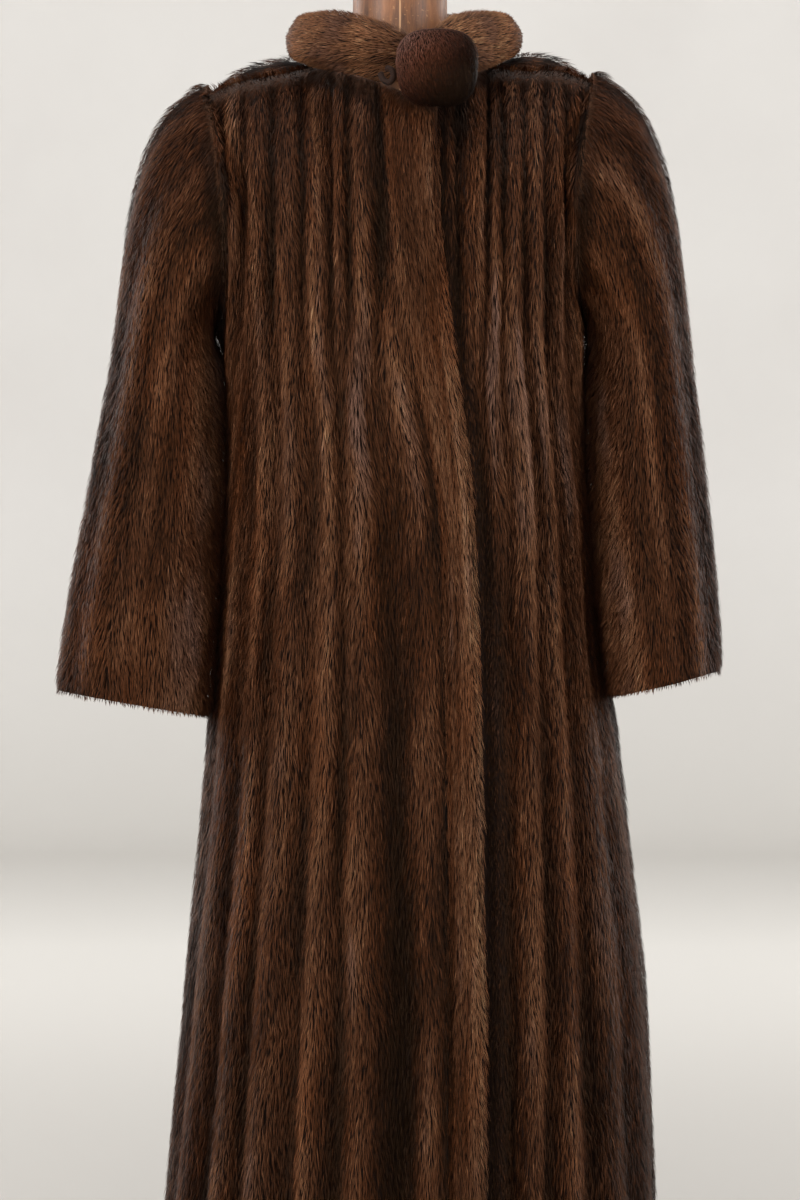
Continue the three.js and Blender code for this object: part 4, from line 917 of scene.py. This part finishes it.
sleeves = {
    "left": (1, table("z outer inner depth forward", [
        (760, 335, 217, 158, 56), (850, 330, 208, 158, 42), (950, 321, 200, 162, 25),
        (1075, 308, 195, 168, 7)])),
    "right": (-1, table("z outer inner depth forward", [
        (740, 360, 200, 126, 52), (850, 345, 191, 138, 40), (950, 327, 186, 150, 24),
        (1075, 306, 184, 166, 7)])),
}
for name, (side, rows) in sleeves.items():
    skin = sleeve_skin(rows, side, swing=2)
    pelt = pelt_shell(f"{name}_sleeve_pelt", skin, ring=True)
    pelt.data.materials.append(underfur)
    p = skin["p"]
    n, along_cloth = skin["n"], unit(np.gradient(p, axis=1))
    hang = np.stack([0.22 * side * ease(p[..., 2], 1150, 1380), 0 * p[..., 1], -1 + 0 * p[..., 2]], axis=-1)
    hang = unit(hang - n * np.sum(hang * n, axis=2, keepdims=True)) * 0.8 + along_cloth * 0.35
    down = unit(hang)
    wrapped = np.concatenate([p[-1:], p, p[:1]])
    across = unit(wrapped[2:] - wrapped[:-2])
    s, z = skin["k"][:, None] / PELTS_ROUND, p[..., 2]
    ring_wave = waves(np.cos(2 * math.pi * s) * 0.9, z / 300 + np.sin(2 * math.pi * s) * 0.8, 41 + side)
    slant = 0.13 * ring_wave + 0.14 * np.sin(PELTS_ROUND * math.pi * s) * ease(np.abs(s - 0.5), 0.12, 0.3)
    # Painted highlight: a paler patch down the sleeve with a mauve sheen; elsewhere the mauve where the tone
    # is light is painted sheen.
    lit = np.exp(-((s - mix(0.36, 0.4, ease(z, 760, 1200))) / 0.05) ** 2) * (1 - ease(z, 1080, 1260))
    tone = (0.44 + 0.05 * skin["ridge"] + 0.1 * waves(np.cos(2 * math.pi * s) * 1.2, z / 300, 51 + side)
            + 0.14 * lit)
    warm = 0.66 + 0.2 * waves(np.cos(2 * math.pi * s) * 0.8, z / 300, 61 + side) - 1.0 * (tone - 0.44)
    # Painted shade along the armhole seam.
    tone -= 0.26 * (1 - ease(skin["near_top"], 3, 16)) * (1 - ease(z, 1290, 1350))
    warm = np.maximum(warm - 0.25 * lit, 0.5 * (1 - ease(tone, 0.42, 0.62)))
    flow = unit(down + across * slant[..., None])
    under_arm = np.exp(-((z - 1110) / 45) ** 2)
    reach = (1 - 0.15 * skin["beside"] * (1 - under_arm)) * mix(0.4, 1, ease(1 - skin["t"], 0, 0.04))
    laid = 1 - 0.75 * (1 - ease(skin["near_top"], 8, 40))
    lifted = mix(1 + 1.4 * skin["beside"], laid, ease(z, 1300, 1350))
    pile = grow_pile(f"{name}_sleeve_pile", skin, mink, flow, n * lifted[..., None], tone, warm, 19,
                     width=0.95, seed=50 + side, ring=True, reach=reach,
                     cover=crowded(skin) * (1 + 0.3 * skin["beside"]))
    for piece in (pelt, pile):
        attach(piece, "root")
    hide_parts(f"sleeve_{name}")

# Collar: a roll of paler pelt, sewn along the neckline and padded, that ends at each side of the
# fastening. Its hair runs round the neck.
collar_rows = table("x y root base crown out in", [
    (16, -121, 1395.3, 1403.3, 1424, 5, 5), (-4, -119, 1383.3, 1401.3, 1435, 11, 12),
    (-34, -109, 1382.9, 1400.3, 1446, 16, 17), (-66, -84, 1392.3, 1403.3, 1455, 21, 17),
    (-91, -38, 1404.8, 1414.5, 1457, 26, 16), (-90, 16, 1414, 1425, 1460, 21, 14),
    (-58, 60, 1414.2, 1423.8, 1464, 21, 17), (0, 76, 1414.8, 1423.8, 1465, 20, 17),
    (60, 60, 1414.2, 1423.8, 1466, 21, 17), (92, 16, 1415, 1428, 1462, 27, 14),
    (94, -38, 1406.6, 1418, 1458, 32, 16), (78, -80, 1392.5, 1401.3, 1455, 19, 17),
    (56, -105, 1382.5, 1395.3, 1446, 13, 16), (38, -117, 1381.3, 1391.3, 1436, 8, 10)])


def collar_ring(q, inset, sides=40):
    """Points round the roll at one station; inset is how far inside the fur's reach they lie."""
    last = len(collar_rows["k"]) - 1
    k = q * last
    row = {key: track(collar_rows, key, k, "k") for key in collar_rows}
    lift = 0.13
    ahead = np.array([track(collar_rows, key, min(k + lift, last), "k")
                      - track(collar_rows, key, max(k - lift, 0), "k") for key in "xy"])
    ahead /= np.linalg.norm(ahead)
    side = np.array([-ahead[1], ahead[0], 0])
    a = np.linspace(0, 2 * math.pi, sides, endpoint=False)
    up = np.sin(a) > 0
    c = np.sign(np.cos(a)) * np.abs(np.cos(a)) ** np.where(up, 0.6, 0.5)
    h = np.sign(np.sin(a)) * np.abs(np.sin(a)) ** np.where(up, 0.85, 0.6)
    thick = row["out"] + row["in"]
    small = min(inset, 0.36 * thick)
    r = (row["out"] - row["in"]) / 2 + (thick / 2 - small) * c - 0.18 * np.maximum(h, 0) * (thick - small)
    low = mix(row["root"], row["base"] - 4.5 * ease(abs(row["x"]), 66, 88), ease(c, -0.45, 0.5)) + small
    z = mix(low, row["crown"] - small, (h + 1) / 2)
    return np.array([row["x"], row["y"], 0]) + side * r[:, None] + np.stack([0 * z, 0 * z, z], axis=1)


stations = np.linspace(0, 1, 110)
roll = np.array([collar_ring(q, 1.8) for q in stations])
collar = closed_loft("collar_roll", roll)
collar.data.materials.append(underfur)
wrapped = np.concatenate([roll[:, -1:], roll, roll[:, :1]], axis=1)
ahead = np.gradient(roll, axis=0)
normal = unit(np.cross(ahead, wrapped[:, 2:] - wrapped[:, :-2]))
normal = np.where((np.sum(normal * (roll - roll.mean(axis=1, keepdims=True)), axis=2) < 0)[..., None],
                  -normal, normal)
skin = {"p": roll.transpose(1, 0, 2), "n": normal.transpose(1, 0, 2)}
n = skin["n"]
to_back = (1 - 2 * ease(stations, 0.47, 0.55))[None, :, None]
flow = unit(to_back * unit(ahead).transpose(1, 0, 2)
            - np.array([0, 0, 0.28]) * ease(-n[..., 2:], 0, 0.7) + n * 0.35 * ease(n[..., 2:], 0.6, 0.95))
level = waves(np.arange(40)[:, None] / 40 * 2, stations[None] * 6, 71)
# Painted shade: the roll darker on its outer faces at the sides. Lighter from the wearer's left side round
# to its front end.
tone = (0.62 + 0.1 * level + 0.08 * ease(stations[None], 0.72, 0.88)
        - 0.1 * ease(np.abs(skin["p"][..., 0]), 98, 118))
collar_pile = grow_pile("collar_pile", skin, mink, flow, n, tone, 0.4 + 0.22 * level, 38,
                        length=10, width=0.75, lift=0.22, seed=71, ring=True)
for piece in (collar, collar_pile):
    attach(piece, "root")
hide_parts("collar")

# Button: a large padded button covered in dark mink, and its loop of covered cord, which is tacked
# under the edge of the collar.
BUTTON = {"x": 38, "y": -140.4, "z": 1394, "wide": 86, "high": 82, "thick": 36, "turn": 0.14,
          "square": 3.0, "pile": 2.2}


def button_ring(lift, sides=64):
    """Points round the button at one lift, from 0 at its back to 1 at its face."""
    inset, square = BUTTON["pile"], BUTTON["square"]
    grow = math.sin(math.pi * lift) ** 0.5
    a = np.linspace(0, 2 * math.pi, sides, endpoint=False) + BUTTON["turn"]
    r = (np.abs(np.cos(a)) ** square + np.abs(np.sin(a)) ** square) ** (-1 / square)
    return np.stack([BUTTON["x"] + (BUTTON["wide"] / 2 - inset) * grow * r * np.cos(a),
                     np.full(sides, BUTTON["y"] + (BUTTON["thick"] - inset) * (0.5 - lift)),
                     BUTTON["z"] + (BUTTON["high"] / 2 - inset) * grow * r * np.sin(a)], axis=1)


lifts = [0.04, 0.1, 0.2, 0.32, 0.45, 0.57, 0.67, 0.76, 0.84, 0.9, 0.945, 0.975, 0.992, 0.9995]
puff = np.array([button_ring(lift) for lift in lifts])
button = closed_loft("button_pad", puff)
button.data.materials.append(underfur)
skin_p = puff.transpose(1, 0, 2)
centre = np.array([BUTTON["x"], BUTTON["y"] + 6, BUTTON["z"]])
normal = unit((skin_p - centre) * (1, 2.2, 1))
flow = unit(np.cross(np.cross(normal, np.array([0.25, -0.2, -1.0])), normal))
# Painted light and shade: the pile lighter and mauve towards the upper left, where the light falls on it,
# and darker towards the lower right.
slope = ((skin_p[..., 2] - BUTTON["z"]) - (skin_p[..., 0] - BUTTON["x"])) / 40
tone = np.maximum(0.3 + 0.3 * slope, 0)
warm = 0.62 - 0.3 * ease(slope, 0.5, 1.4)
dark_mink = fur_material("dark_mink_guard_hair", "#0a0402", "#200d07", "#3f2116", "#664134", "#8f6f62",
                         "#5c2814", "#6c5454")
button_pile = grow_pile("button_pile", {"p": skin_p, "n": normal}, dark_mink, flow, normal, tone, warm,
                        90, length=6.5, width=0.5, lift=0.2, lean=0.06, seed=81, ring=True)
for piece in (button, button_pile):
    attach(piece, "root")
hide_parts("fur_button")

loop_path = np.array([(-20, -126.5, 1388), (-17, -131.5, 1381), (-11, -135, 1378), (-6.7, -136, 1384),
                      (-8.5, -135, 1391), (-14, -132, 1393)], float)
centres = np.array([along(loop_path, q) for q in np.linspace(0, 1, 40)])
ahead = unit(np.gradient(centres, axis=0))
beside = unit(np.cross(ahead, (0, -1, 0.001)))
over = np.cross(ahead, beside)
a = np.linspace(0, 2 * math.pi, 14, endpoint=False)
CORD = 3.1          # radius of the covered cord
tube = [c + CORD * (np.cos(a)[:, None] * b + np.sin(a)[:, None] * o)
        for c, b, o in zip(centres, beside, over)]
loop = closed_loft("button_loop_cord", tube)
# Silk-covered cord: a fine twist with a soft shine.
silk, tree, shader = material("silk_covered_cord", {
    "Roughness": 0.7, "Specular IOR Level": 0.1, "Sheen Weight": 0.02})
place = node(tree, "ShaderNodeTexCoord")
twist = node(tree, "ShaderNodeTexWave", {"bands_direction": "DIAGONAL"}, Vector=place.outputs["Object"],
             Scale=330.0)
thread = node(tree, "ShaderNodeMix", {"data_type": "RGBA"}, Factor=twist.outputs["Fac"],
              in6=linear("#0d0603"), in7=linear("#2a170d"))
tree.links.new(thread.outputs[2], shader.inputs["Base Color"])
loop.data.materials.append(silk)
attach(loop, "root")
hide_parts("button_loop")

bpy.data.objects.remove(guard_hair)
